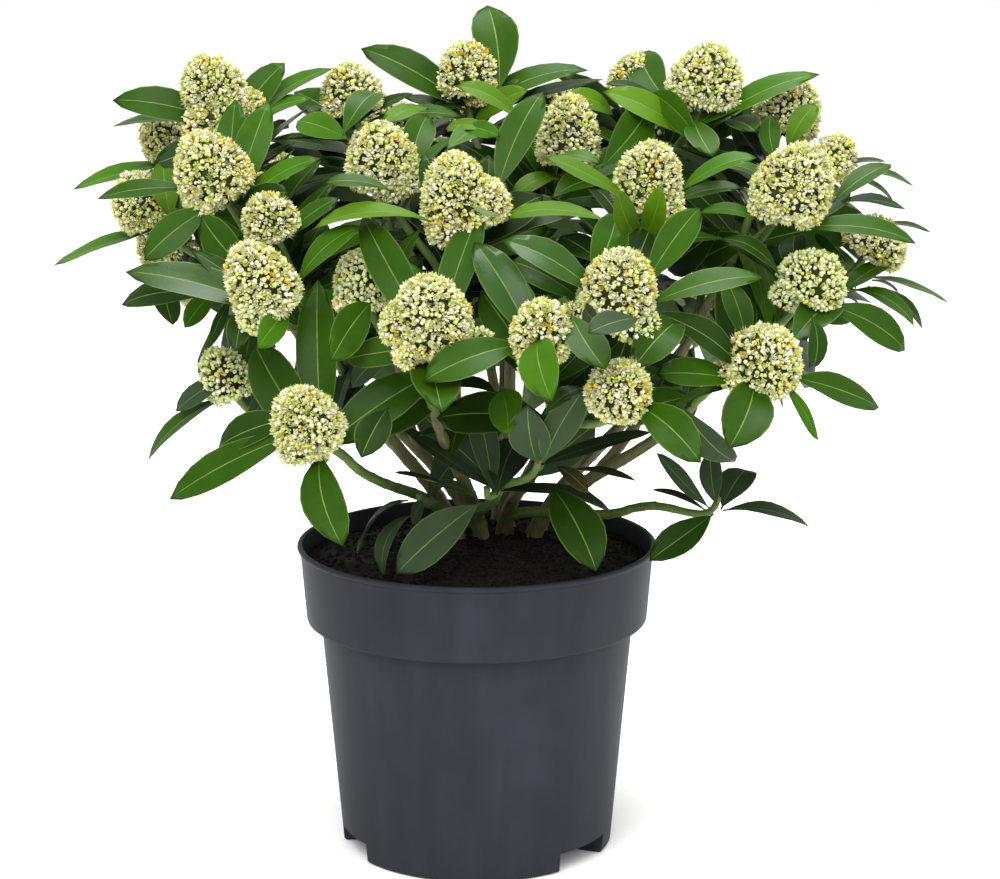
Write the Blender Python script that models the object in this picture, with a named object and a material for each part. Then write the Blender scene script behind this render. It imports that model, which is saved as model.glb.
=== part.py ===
"""Potted skimmia: a clump of woody stems in a nursery pot, with boughs and foliage masses as separate solids.

Units are metres, +Z is up and the front faces -Y. The origin is the centre of the pot's flat underside.
"""

import math

import bmesh
import bpy
import numpy as np
from mathutils.bvhtree import BVHTree

MM = 0.001
CLEAR = 0.3 * MM
UP = np.array((0.0, 0.0, 1.0))

# Pot: a moulded container with a wide band under its rim and three channels across its foot
RIM_RADIUS = 0.1154
POT_HEIGHT = 0.202
BASE_RADIUS = 0.0886
WALL = 0.0019
BODY_TOP = (0.1018, 0.151)
BAND_FOOT = (0.1110, 0.153)
BAND_TOP = (0.1148, 0.1985)
BAND_ROUND = 0.002
FOOT_ROUND = 0.0025
LIP_ROUND = 0.0012
POT_SIDES = 30
CHANNEL_COUNT = 3
CHANNEL_FIRST = math.radians(52)
CHANNEL_HALF_WIDTH = math.radians(15)
CHANNEL_INNER = 0.045
CHANNEL_HEIGHT = 0.013

# Soil: a flat middle that the stems stand on, and a slope down to the wall
SOIL_TOP = 0.196
SOIL_EDGE = 0.190
SOIL_FLAT_RADIUS = 0.078

# Shoots that show from the front, by foliage mass. Each row holds the flower head's centre x, y, z, its width and
# height, and the leaves whose tips show: bearing in degrees from +X towards +Z, and reach across the view, below 0
# for a leaf that leans away. All sizes are in mm. A head of width 0 is a leafy shoot with no flowers.
LEAF_SPAN = 72
SEEN_SHOOTS = {
    "left_top": [
        (-165, -10, 496, 53, 45, ((165, 74), (45, -48), (180, 72))),
        (-204, 15, 461, 40, 38, ()),
        (-211, -25, 426, 42, 42, ((195, 68),)),
        (-202, 14, 396, 38, 34, ()),
    ],
    "left_front": [
        (-161, -75, 454, 50, 51, ((175, 76), (165, 84), (210, 54), (85, -62), (65, -58))),
        (-124, -100, 428, 37, 32, ((60, -58), (90, -34))),
        (-126, -150, 398, 45, 54, ((125, -72), (160, 88), (45, -66), (145, -64), (180, 86))),
    ],
    "left_low": [
        (-153, -95, 331, 34, 39, ((210, 66), (185, 42), (90, -50))),
        (-98, -185, 321, 44, 50, ((195, 86), (290, 44), (90, -84), (130, -70), (65, -80))),
    ],
    "top_left": [
        (-80, 20, 492, 42, 38, ((165, 62), (175, 72), (5, 66))),
        (-61, 88, 478, 44, 40, ()),
    ],
    "front_left": [
        (-67, -125, 394, 38, 41, ()),
        (-25, -195, 386, 50, 52, ((120, -80), (65, -74), (280, 26), (220, -72))),
    ],
    "front_top": [
        (-57, -85, 463, 49, 45, ((95, -58), (145, -62), (160, 38))),
        (-13, -125, 446, 48, 55, ((105, -72), (175, 82))),
        (12, -105, 442, 30, 34, ((70, -76), (5, 70))),
    ],
    "top_middle": [
        (-8, 35, 505, 44, 40, ((150, 74), (75, -62), (15, 78), (350, 34))),
        (59, -25, 471, 46, 48, ((35, -64),)),
    ],
    "front_middle": [
        (37, -200, 377, 39, 44, ((115, -72), (135, -54), (190, 70), (300, 20))),
        (84, -200, 343, 43, 40, ((335, 58), (55, -62), (330, -76))),
    ],
    "front_right": [
        (105, -90, 454, 45, 46, ((150, -66), (25, 72), (10, 62))),
        (84, -175, 399, 48, 50, ((145, -72), (155, -58), (85, -62), (50, -76), (20, 84), (245, 24))),
    ],
    "top_right": [
        (99, 70, 500, 38, 36, ()),
        (145, -10, 503, 50, 46, ((20, 78), (150, 42), (130, -48))),
    ],
    "right_top": [
        (198, 5, 482, 44, 40, ()),
        (193, -95, 448, 52, 54, ((355, 82), (30, 72), (95, -60), (65, -68), (165, 48))),
        (229, -15, 457, 34, 32, ((0, 56), (340, 54))),
    ],
    "right_outer": [
        (203, -105, 391, 46, 36, ((340, 70), (90, -40))),
        (248, -50, 400, 43, 33, ((345, 60), (320, 48), (35, 52))),
        (172, -150, 352, 50, 42, ((140, -64), (100, -60), (180, 60), (245, 34), (320, 52), (355, 74), (45, -70))),
    ],
    "low_left": [
        (-36, -35, 238, 0, 0, ((210, 39), (238, 38))),
    ],
    "low_middle": [
        (7, -76, 252, 0, 0, ((217, 70), (96, -69), (357, 72), (138, 74), (75, 67))),
        (39, -102, 282, 0, 0, ((299, 70), (101, -53), (19, 72), (64, 57))),
    ],
    "low_right": [
        (152, -45, 238, 0, 0, ((203, 54), (3, 56), (132, 61), (149, 51), (85, -38), (60, 40))),
    ],
}

# The far side of the crown is a dome of flower heads in rows, shared out between masses by direction
DOME_CENTRE = (0.019, 0.008)
DOME_RADIUS = (0.232, 0.208)
DOME_FOOT = 0.330
DOME_RISE = 0.165
DOME_POWER = 2.6
BACK_ROWS = (
    {"level": "low", "reach": 1.00, "first": 24, "last": 156, "count": 6},
    {"level": "low", "reach": 0.86, "first": 12, "last": 168, "count": 6},
    {"level": "upper", "reach": 0.56, "first": 28, "last": 104, "count": 3},
)
BACK_SECTORS = {"low": ("back_right", "back_middle", "back_left"), "upper": ("back_top_right", "back_top_left")}
BACK_HEAD = (0.045, 0.043)
BACK_SCATTER = 0.007

# Limbs: every mass hangs on one. Stems stand on the soil with their feet at these x and y in mm. Boughs leave the
# side of another limb, a share of the way along it
STEM_FEET = {
    "left_top": (-15, 50),
    "left_front": (-14, 32),
    "front_left": (2, 35),
    "front_middle": (18, 44),
    "right_outer": (38, 37),
    "top_middle": (19, 64),
    "back_left": (-4, 70),
    "back_middle": (15, 82),
    "back_right": (41, 58),
}
LIMB_REACH = 0.60
STEM_RADIUS = (0.0046, 0.0031)
BOUGH_RADIUS = (0.0036, 0.0028)
LIMB_SIDES = 6
ROOT_FLARE = 0.55
ROOT_FLARE_LENGTH = 0.009
CARRIED_BY = {
    "top_left": ("back_left", 0.45),
    "front_top": ("front_left", 0.42),
    "front_right": ("front_middle", 0.42),
    "top_right": ("back_top_right", 0.40),
    "right_top": ("right_outer", 0.42),
    "back_top_left": ("back_middle", 0.42),
    "back_top_right": ("back_right", 0.30),
    "left_low": ("left_front", 0.12),
    "low_left": ("left_low", 0.16),
    "low_middle": ("front_left", 0.12),
    "low_right": ("front_middle", 0.12),
}

# Flower heads: eight-sided domes whose rings are told by height and half width, as shares of the head's own
HEAD_SIDES = 8
HEAD_FOOT = -0.46
HEAD_RINGS = ((-0.36, 0.34), (-0.12, 0.50), (0.24, 0.39))
HEAD_TOP = 0.50
HEAD_SEAT = 0.40

# Twigs and leaves
TWIG_RADIUS = 0.0026
TWIG_FORK = 0.30
LEAFY_TIP = 0.004
LEAN = math.radians(34)
LEAVES_FLOWERING = 9
LEAVES_LEAFY = 6
FRONT_TOLD = 3
GOLDEN_ANGLE = math.radians(137.508)
LEAF_LENGTH = (0.058, 0.080)
LEAF_ASPECT = 0.40
LEAF_BEND = 0.55
LEAF_FOLD = 0.06
LEAF_KEEL = 0.0008
LEAF_SINK = 0.0006
LEAF_FIRST = 0.008
LEAF_STEP = 0.0054
LEAF_RISE = (math.radians(48), math.radians(-2))
LEAF_ROOM = 0.0012
LEAF_APART = {"own": 0.006, "other": 0.004}
HEAD_BARE = {"own": 0.36, "other": 0.5}
SPACE_SHARE = 0.050
LEAF_TRIES = ((0, 0, 1.0), (28, 0, 1.0), (-28, 0, 1.0), (0, 22, 1.0), (28, 22, 1.0), (-28, 22, 1.0),
              (56, 12, 0.9), (-56, 12, 0.9), (0, 38, 0.85), (40, 38, 0.85), (-40, 38, 0.85))


def clear_scene():
    for thing in list(bpy.data.objects):
        bpy.data.objects.remove(thing, do_unlink=True)


def unit(vector):
    return vector / np.linalg.norm(vector)


def material(name, colour, roughness):
    """A Principled surface with one linear colour."""
    made = bpy.data.materials.new(name)
    made.use_nodes = True
    shader = made.node_tree.nodes["Principled BSDF"]
    shader.inputs["Base Color"].default_value = (*colour, 1.0)
    shader.inputs["Roughness"].default_value = roughness
    return made


def mesh_object(name, points, faces, collection=None):
    """An object whose mesh has these points and faces, with every face turned outwards."""
    mesh = bpy.data.meshes.new(name)
    mesh.from_pydata([tuple(p) for p in points], [], [tuple(f) for f in faces])
    sheet = bmesh.new()
    sheet.from_mesh(mesh)
    bmesh.ops.recalc_face_normals(sheet, faces=sheet.faces)
    sheet.to_mesh(mesh)
    sheet.free()
    thing = bpy.data.objects.new(name, mesh)
    (collection or bpy.context.scene.collection).objects.link(thing)
    return thing


def turned(name, profile, sides=POT_SIDES):
    """A closed solid of revolution about Z from (radius, height) pairs whose ends lie on the axis."""
    points = []
    rings = []
    for radius, height in profile:
        if radius < 1e-9:
            rings.append([len(points)])
            points.append((0.0, 0.0, height))
            continue
        rings.append(list(range(len(points), len(points) + sides)))
        for k in range(sides):
            angle = 2 * math.pi * k / sides
            points.append((radius * math.cos(angle), radius * math.sin(angle), height))
    faces = []
    for low, high in zip(rings, rings[1:]):
        for k in range(sides):
            after = (k + 1) % sides
            if len(low) == 1:
                faces.append((low[0], high[after], high[k]))
            elif len(high) == 1:
                faces.append((low[k], low[after], high[0]))
            else:
                faces.append((low[k], low[after], high[after], high[k]))
    return mesh_object(name, points, faces)


def tube(name, path, radii, sides, level_start=False):
    """A closed tube along a path. level_start turns its first ring level, for a flat cut at the soil."""
    path = np.asarray(path, float)
    tangents = np.gradient(path, axis=0)
    tangents /= np.linalg.norm(tangents, axis=1)[:, None]
    if level_start:
        tangents[0] = UP
    side = unit(np.cross(tangents[0], (0.3, 1.0, 0.1)))
    points = []
    for centre, tangent, radius in zip(path, tangents, radii):
        side = unit(side - tangent * np.dot(side, tangent))
        other = np.cross(tangent, side)
        for k in range(sides):
            angle = 2 * math.pi * k / sides
            points.append(centre + radius * (math.cos(angle) * side + math.sin(angle) * other))
    faces = [tuple(range(sides))[::-1]]
    for ring in range(len(path) - 1):
        base = ring * sides
        for k in range(sides):
            after = (k + 1) % sides
            faces.append((base + k, base + after, base + sides + after, base + sides + k))
    faces.append(tuple(range((len(path) - 1) * sides, len(path) * sides)))
    return mesh_object(name, points, faces)


def bezier(start, leave, arrive, end, count):
    """Points of a cubic curve from its four control points."""
    t = np.linspace(0.0, 1.0, count)[:, None]
    s = 1.0 - t
    return s ** 3 * start + 3 * s * s * t * leave + 3 * s * t * t * arrive + t ** 3 * end


def boolean(target, operation, operand, solver="EXACT"):
    """Joins, cuts or keeps the overlap of target with an object or a collection, and applies it."""
    modifier = target.modifiers.new(operation.title(), "BOOLEAN")
    modifier.operation = operation
    modifier.solver = solver
    if isinstance(operand, bpy.types.Collection):
        modifier.operand_type = "COLLECTION"
        modifier.collection = operand
    else:
        modifier.object = operand
    bpy.context.view_layer.update()
    graph = bpy.context.evaluated_depsgraph_get()
    result = bpy.data.meshes.new_from_object(target.evaluated_get(graph))
    target.modifiers.remove(modifier)
    target.data = result


def discard(thing):
    bpy.data.objects.remove(thing, do_unlink=True)


def keep_main_body(thing):
    """Keeps the body with the largest volume. Loose scraps go, and hollows that joining sealed are filled."""
    sheet = bmesh.new()
    sheet.from_mesh(thing.data)
    bmesh.ops.triangulate(sheet, faces=sheet.faces)
    waiting = set(sheet.faces)
    bodies = []
    while waiting:
        seed = waiting.pop()
        body = [seed]
        fresh = [seed]
        while fresh:
            face = fresh.pop()
            for edge in face.edges:
                for other in edge.link_faces:
                    if other in waiting:
                        waiting.remove(other)
                        body.append(other)
                        fresh.append(other)
        bodies.append(body)

    def volume(body):
        total = 0.0
        for face in body:
            a, b, c = [v.co for v in face.verts][:3]
            total += a.dot(b.cross(c)) / 6.0
        return total

    main = max(bodies, key=volume)
    spare = [face for body in bodies if body is not main for face in body]
    bmesh.ops.delete(sheet, geom=spare, context="FACES")
    sheet.to_mesh(thing.data)
    sheet.free()


# Pot and soil

def outer_profile():
    """The pot's outer side from the middle of its underside to its rim."""
    return [
        (0.0, 0.0),
        (BASE_RADIUS - FOOT_ROUND, 0.0),
        (BASE_RADIUS, FOOT_ROUND),
        BODY_TOP,
        (BAND_FOOT[0] - BAND_ROUND, BODY_TOP[1]),
        BAND_FOOT,
        BAND_TOP,
        (RIM_RADIUS, POT_HEIGHT - 2 * LIP_ROUND),
        (RIM_RADIUS, POT_HEIGHT - LIP_ROUND),
        (RIM_RADIUS - LIP_ROUND, POT_HEIGHT),
    ]


def inner_profile(gap=0.0):
    """The cavity's side, one wall in from the outer side and smaller by gap, from its floor to the rim."""
    inset = WALL + gap
    return [
        (0.0, inset),
        (BASE_RADIUS - inset, inset),
        (BODY_TOP[0] - inset, BODY_TOP[1] + inset),
        (BAND_FOOT[0] - inset, BAND_FOOT[1] + inset),
        (BAND_TOP[0] - inset, BAND_TOP[1]),
    ]


def channel_cutter(name, centre_angle, grow=0.0):
    """A wedge across the foot between two radial planes, larger by grow on its inside faces."""
    inner = CHANNEL_INNER - grow
    outer = BASE_RADIUS + 0.03
    plan = []
    for radius, sign in ((inner, -1), (outer, -1), (outer, 1), (inner, 1)):
        angle = centre_angle + sign * (CHANNEL_HALF_WIDTH + math.asin(grow / radius))
        plan.append((radius * math.sin(angle), -radius * math.cos(angle)))
    points = [(x, y, z) for z in (-0.01, CHANNEL_HEIGHT + grow) for x, y in plan]
    faces = [(0, 1, 2, 3), (4, 5, 6, 7), (0, 1, 5, 4), (1, 2, 6, 5), (2, 3, 7, 6), (3, 0, 4, 7)]
    return mesh_object(name, points, faces)


def cut_channels(thing, grow=0.0):
    for k in range(CHANNEL_COUNT):
        cutter = channel_cutter("channel", CHANNEL_FIRST + 2 * math.pi * k / CHANNEL_COUNT, grow)
        boolean(thing, "DIFFERENCE", cutter)
        discard(cutter)


def build_pot(plastic):
    pot = turned("pot", outer_profile() + [(0.0, POT_HEIGHT)])
    cut_channels(pot)
    top = POT_HEIGHT + 0.01
    cavity = turned("cavity", inner_profile() + [(BAND_TOP[0] - WALL, top), (0.0, top)])
    cut_channels(cavity, WALL)
    boolean(pot, "DIFFERENCE", cavity)
    discard(cavity)
    finish_node(pot, plastic)


def build_soil(peat):
    side = inner_profile(CLEAR)
    foot, top = side[-2], side[-1]
    share = (SOIL_EDGE - foot[1]) / (top[1] - foot[1])
    edge = (foot[0] + share * (top[0] - foot[0]), SOIL_EDGE)
    soil = turned("soil", side[:-1] + [edge, (SOIL_FLAT_RADIUS, SOIL_TOP), (0.0, SOIL_TOP)])
    cut_channels(soil, WALL + CLEAR)
    finish_node(soil, peat)


def finish_node(thing, surface):
    keep_main_body(thing)
    thing.data.materials.clear()
    thing.data.materials.append(surface)


# Shoots: where each flower head or leafy tip is, and which way it points

def dome_height(reach):
    return DOME_FOOT + DOME_RISE * math.sqrt(max(0.0, 1.0 - reach ** DOME_POWER))


def make_shoot(x, y, z, width, height, tips=()):
    """A shoot leans out from the crown's middle, more the further out it stands."""
    head = np.array((x, y, z))
    out = np.array(((x - DOME_CENTRE[0]) / DOME_RADIUS[0], (y - DOME_CENTRE[1]) / DOME_RADIUS[1], 0.0))
    lean = LEAN * min(1.1, float(np.linalg.norm(out))) ** 1.3
    level = unit(np.array((x - DOME_CENTRE[0], y - DOME_CENTRE[1], 0.0)) + 1e-9)
    axis = math.cos(lean) * UP + math.sin(lean) * level
    base = head - axis * HEAD_SEAT * height
    return {"head": head, "axis": axis, "width": width, "height": height, "base": base, "tips": tips}


def shoots_by_mass():
    masses = {}
    for name, rows in SEEN_SHOOTS.items():
        masses[name] = [make_shoot(*(value * MM for value in row[:5]), row[5]) for row in rows]
    rng = np.random.default_rng(11)
    for row in BACK_ROWS:
        names = BACK_SECTORS[row["level"]]
        for k in range(row["count"]):
            turn = math.radians(row["first"] + (row["last"] - row["first"]) * k / (row["count"] - 1))
            x = DOME_CENTRE[0] + DOME_RADIUS[0] * row["reach"] * math.cos(turn)
            y = DOME_CENTRE[1] + DOME_RADIUS[1] * row["reach"] * math.sin(turn)
            x, y, z = np.array((x, y, dome_height(row["reach"]))) + rng.uniform(-BACK_SCATTER, BACK_SCATTER, 3)
            size = rng.uniform(0.9, 1.1)
            name = names[min(len(names) - 1, k * len(names) // row["count"])]
            masses.setdefault(name, []).append(make_shoot(x, y, z, BACK_HEAD[0] * size, BACK_HEAD[1] * size))
    return masses


# Limbs

def limb_path(name, masses, paths):
    """A limb climbs from its foot, or from the side of the limb that carries it, towards its mass."""
    middle = np.mean([shoot["base"] for shoot in masses[name]], axis=0)
    if name in CARRIED_BY:
        parent, share = CARRIED_BY[name]
        route = paths[parent]
        spot = share * (len(route) - 1)
        low = int(spot)
        start = route[low] + (spot - low) * (route[low + 1] - route[low])
        along = unit(route[low + 1] - route[low])
        end = start + LIMB_REACH * (middle - start)
        span = np.linalg.norm(end - start)
        leave = start + 0.30 * span * unit(along + unit(end - start))
    else:
        start = np.array((STEM_FEET[name][0] * MM, STEM_FEET[name][1] * MM, SOIL_TOP + CLEAR))
        end = start + LIMB_REACH * (middle - start)
        span = np.linalg.norm(end - start)
        leave = start + 0.28 * span * unit(UP + unit(end - start))
    arrive = end - 0.33 * span * unit(unit(end - start) + 0.30 * UP)
    return bezier(start, leave, arrive, end, 6)


def limb_paths(masses):
    """The path of every limb, each after that of the limb that carries it."""
    paths = {}
    waiting = list(masses)
    while waiting:
        name = waiting.pop(0)
        if name in CARRIED_BY and CARRIED_BY[name][0] not in paths:
            waiting.append(name)
        else:
            paths[name] = limb_path(name, masses, paths)
    return paths


def limb_radii(name, path):
    first, last = BOUGH_RADIUS if name in CARRIED_BY else STEM_RADIUS
    run = np.concatenate(([0.0], np.cumsum(np.linalg.norm(np.diff(path, axis=0), axis=1))))
    radii = first + (last - first) * run / run[-1]
    if name not in CARRIED_BY:
        radii *= 1.0 + ROOT_FLARE * np.exp(-run / ROOT_FLARE_LENGTH)
    return radii


def limb_name(name):
    return ("bough_" if name in CARRIED_BY else "stem_") + name


def build_limb(name, paths, bark):
    """One tapering limb. A bough's foot is cut to the side of the limb that carries it, 0.3 mm clear."""
    path = paths[name]
    radii = limb_radii(name, path)
    limb = tube(limb_name(name), path, radii, LIMB_SIDES, level_start=name not in CARRIED_BY)
    if name in CARRIED_BY:
        parent = CARRIED_BY[name][0]
        route = paths[parent]
        swell = CLEAR / math.cos(math.pi / LIMB_SIDES)
        girth = limb_radii(parent, route) + swell
        cutter = tube("saddle", route, girth, LIMB_SIDES, level_start=parent not in CARRIED_BY)
        boolean(limb, "DIFFERENCE", cutter)
        discard(cutter)
    finish_node(limb, bark)


# Foliage

def twig_paths(name, masses, paths):
    """The stem of a mass runs on from its limb to a fork, and one twig bends up from there to each shoot."""
    limb = paths[name]
    along = unit(limb[-1] - limb[-2])
    start = limb[-1] + CLEAR * along
    shoots = masses[name]
    middle = np.mean([shoot["base"] for shoot in shoots], axis=0)
    gap = np.linalg.norm(middle - start)
    fork = start + TWIG_FORK * gap * unit(along + unit(middle - start))
    stem = np.array([start, start + 0.4 * TWIG_FORK * gap * along, fork])
    twigs = []
    for shoot in shoots:
        reach = np.linalg.norm(shoot["base"] - fork)
        leave = fork + 0.30 * reach * unit(unit(fork - start) + unit(shoot["base"] - fork))
        arrive = shoot["base"] - 0.38 * reach * shoot["axis"]
        end = shoot["base"] + (0.35 * shoot["height"] + LEAFY_TIP * (shoot["width"] == 0)) * shoot["axis"]
        twigs.append(np.vstack((bezier(fork - 0.004 * unit(fork - start), leave, arrive, shoot["base"], 4), end)))
    return stem, twigs


def spot_on_twig(twig, below):
    """The point and the direction on a twig at a distance below the head's base."""
    run = np.linalg.norm(np.diff(twig[:-1], axis=0), axis=1)[::-1]
    left = below
    for k, length in enumerate(run):
        top = len(twig) - 2 - k
        if left <= length or k == len(run) - 1:
            share = min(1.0, left / length)
            return twig[top] + share * (twig[top - 1] - twig[top]), unit(twig[top] - twig[top - 1])
        left -= length


def seen_leaves(shoot, twig):
    """The leaves whose tips show from the front, from the bearing and reach of each."""
    for slot, (bearing, reach) in enumerate(shoot["tips"]):
        root, axis = spot_on_twig(twig, LEAF_FIRST + LEAF_STEP * slot)
        across = abs(reach) * MM
        depth = math.sqrt(max(0.0, (LEAF_SPAN * MM) ** 2 - across ** 2)) * (1 if reach < 0 else -1)
        angle = math.radians(bearing)
        chord = np.array((across * math.cos(angle), depth, across * math.sin(angle)))
        yield leaf_along(root, axis, chord)


def leaf_along(root, axis, chord):
    """A leaf from its root to its tip. Its face looks towards the shoot's axis and up."""
    span = np.linalg.norm(chord)
    ahead = chord / span
    face = axis + 0.5 * UP
    face = unit(face - ahead * np.dot(face, ahead))
    half = LEAF_BEND / 2
    turned_ahead = math.cos(half) * ahead + math.sin(half) * face
    turned_face = math.cos(half) * face - math.sin(half) * ahead
    return {"root": root, "ahead": turned_ahead, "face": turned_face, "length": span * half / math.sin(half)}


def ruled_leaves(number, shoot, twig):
    """Leaves wind round a shoot by the golden angle. The top ones are short and steep, the lower ones long.

    Where the front of a shoot is told by its seen leaves, the rest lean away from it.
    """
    told = len(shoot["tips"]) >= FRONT_TOLD
    rng = np.random.default_rng(400 + number)
    count = LEAVES_FLOWERING if shoot["width"] > 0.0 else LEAVES_LEAFY
    first = rng.uniform(0.0, 2 * math.pi)
    for slot in range(len(shoot["tips"]), count):
        share = slot / (count - 1)
        turn, rise, size = rng.uniform(-1, 1, 3)
        root, axis = spot_on_twig(twig, LEAF_FIRST + LEAF_STEP * slot)
        angle = first + slot * GOLDEN_ANGLE + math.radians(12) * turn
        climb = LEAF_RISE[0] + share * (LEAF_RISE[1] - LEAF_RISE[0]) + math.radians(7) * rise
        length = (LEAF_LENGTH[0] + share * (LEAF_LENGTH[1] - LEAF_LENGTH[0])) * (1 + 0.08 * size)
        choices = [leaf_towards(root, axis, angle + math.radians(a), climb + math.radians(b), length * stretch)
                   for a, b, stretch in LEAF_TRIES]
        yield [leaf for leaf in choices if leaf["ahead"][1] > 0.0 or not told]


def leaf_towards(root, axis, angle, climb, length):
    """A leaf that leaves its twig at an angle round it and a climb above the level across it."""
    side = unit(np.cross(axis, (0.17, 0.98, 0.05)))
    other = np.cross(axis, side)
    out = math.cos(angle) * side + math.sin(angle) * other
    ahead = math.cos(climb) * out + math.sin(climb) * axis
    face = axis + 0.5 * UP
    return {"root": root, "ahead": ahead, "face": unit(face - ahead * np.dot(face, ahead)), "length": length}


def leaf_corners(leaf):
    """Five corners of a keeled, recurved leaf: root, tip, two edges and keel."""
    ahead, face, length = leaf["ahead"], leaf["face"], leaf["length"]
    across = np.cross(ahead, face)
    width = LEAF_ASPECT * length

    def midrib(t):
        bend = LEAF_BEND * t
        return leaf["root"] + length / LEAF_BEND * (math.sin(bend) * ahead - (1 - math.cos(bend)) * face)

    half = LEAF_BEND * 0.5
    upward = math.cos(half) * face + math.sin(half) * ahead
    middle = midrib(0.5)
    edge = LEAF_FOLD * width * upward
    return np.array([
        leaf["root"] - LEAF_SINK * ahead,
        midrib(1.0),
        middle + 0.5 * width * across + edge,
        middle - 0.5 * width * across + edge,
        middle - LEAF_KEEL * upward,
    ])


def leaf_guard(corners):
    """A thin box round a leaf, LEAF_ROOM larger on every side, that nothing of another node may enter."""
    root, tip, left, right = corners[:4]
    ahead = unit(tip - root)
    across = unit(left - right)
    upward = LEAF_ROOM * np.cross(across, ahead)
    outline = np.array([root, left + LEAF_ROOM * across, tip + LEAF_ROOM * ahead, right - LEAF_ROOM * across])
    return np.vstack((outline + upward, outline - upward))


GUARD_FACES = ((0, 1, 3), (2, 3, 1), (4, 7, 5), (6, 5, 7), (0, 4, 5), (0, 5, 1), (1, 5, 6), (1, 6, 2), (2, 6, 7),
               (2, 7, 3), (3, 7, 4), (3, 4, 0))
LEAF_FACES = ((0, 2, 3), (1, 3, 2), (0, 4, 2), (0, 3, 4), (1, 2, 4), (1, 4, 3))


def build_head(name, shoot):
    """A flower head's outline: a dome with a rounded foot."""
    side = unit(np.cross(shoot["axis"], (0.17, 0.98, 0.05)))
    other = np.cross(shoot["axis"], side)
    points = [shoot["head"] + HEAD_FOOT * shoot["height"] * shoot["axis"]]
    for height, radius in HEAD_RINGS:
        for k in range(HEAD_SIDES):
            angle = 2 * math.pi * k / HEAD_SIDES
            arm = radius * shoot["width"] * (math.cos(angle) * side + math.sin(angle) * other)
            points.append(shoot["head"] + height * shoot["height"] * shoot["axis"] + arm)
    points.append(shoot["head"] + HEAD_TOP * shoot["height"] * shoot["axis"])
    last = 1 + HEAD_SIDES * (len(HEAD_RINGS) - 1)
    faces = []
    for k in range(HEAD_SIDES):
        after = (k + 1) % HEAD_SIDES
        faces.append((0, 1 + after, 1 + k))
        for base in range(1, last, HEAD_SIDES):
            faces.append((base + k, base + after, base + HEAD_SIDES + after, base + HEAD_SIDES + k))
        faces.append((last + k, last + after, last + HEAD_SIDES))
    return mesh_object(name, points, faces)


class Room:
    """What each mass may fill: the space round its own twigs, clear of every other node.

    Leaves of neighbours may reach past each other by SPACE_SHARE, as far as they stay apart.
    """

    def __init__(self, masses, twigs, frames, fixed):
        self.skeletons = {}
        for name, shoots in masses.items():
            stem, branches = twigs[name]
            points = [dense(stem)] + [dense(branch) for branch in branches]
            points += [shoot["head"][None, :] for shoot in shoots]
            self.skeletons[name] = np.vstack(points)
        self.frames = {name: [tree_of(thing) for thing in things] for name, things in frames.items()}
        self.fixed = [tree_of(thing) for thing in fixed]
        self.leaves = []

    def free(self, name, corners):
        samples = corners[1:]
        own = nearest(samples, self.skeletons[name])
        for other, points in self.skeletons.items():
            if other != name and np.any(nearest(samples, points) - own < -SPACE_SHARE):
                return False
        guard = BVHTree.FromPolygons([tuple(p) for p in leaf_guard(corners)], GUARD_FACES)
        solids = self.fixed + [tree for other, trees in self.frames.items() if other != name for tree in trees]
        middle = corners[:2].mean(axis=0)
        for owner, _, line, tree in self.leaves:
            if owner != name and np.linalg.norm(line.mean(axis=0) - middle) < 2 * LEAF_LENGTH[1]:
                solids.append(tree)
        return not any(guard.overlap(tree) for tree in solids)

    def crossed(self, number, corners, shoots):
        """Whether a leaf cuts another leaf of its mass or the middle of a flower head."""
        line = leaf_line(corners)
        for _, owner, other, _ in self.leaves:
            if np.min(nearest(line, other)) < LEAF_APART["own" if owner == number else "other"]:
                return True
        for index, shoot in shoots:
            bare = HEAD_BARE["own" if index == number else "other"] * shoot["width"]
            if np.min(nearest(line, shoot["head"][None, :])) < bare:
                return True
        return False

    def take(self, name, number, corners):
        tree = BVHTree.FromPolygons([tuple(p) for p in corners], LEAF_FACES)
        self.leaves.append((name, number, leaf_line(corners), tree))


def tree_of(thing):
    return BVHTree.FromPolygons([v.co.copy() for v in thing.data.vertices], [f.vertices[:] for f in thing.data.polygons])


def leaf_line(corners):
    """Points along the outer part of a leaf."""
    return corners[0] + (corners[1] - corners[0]) * np.linspace(0.3, 1.0, 6)[:, None]


def dense(path, step=0.006):
    """A path with extra points, none further apart than step."""
    out = []
    for a, b in zip(path, path[1:]):
        count = max(1, math.ceil(np.linalg.norm(b - a) / step))
        out += [a + (b - a) * k / count for k in range(count)]
    out.append(path[-1])
    return np.array(out)


def nearest(samples, points):
    return np.min(np.linalg.norm(samples[:, None, :] - points[None, :, :], axis=2), axis=1)


def grow_leaves(masses, numbers, twigs, room):
    """The leaves of every mass: those that show from the front first, then each shoot's own, as far as there is room."""
    grown = {name: [] for name in masses}

    def settle(name, number, choices):
        for leaf in choices:
            corners = leaf_corners(leaf)
            if not room.crossed(number, corners, indexed[name]) and room.free(name, corners):
                room.take(name, number, corners)
                grown[name].append(corners)
                return

    indexed = {name: list(zip(numbers[name], shoots)) for name, shoots in masses.items()}
    for name, shoots in indexed.items():
        for (number, shoot), twig in zip(shoots, twigs[name][1]):
            for leaf in seen_leaves(shoot, twig):
                settle(name, number, [leaf])
    for name, shoots in indexed.items():
        for (number, shoot), twig in zip(shoots, twigs[name][1]):
            for choices in ruled_leaves(number, shoot, twig):
                settle(name, number, choices)
    return grown


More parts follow.
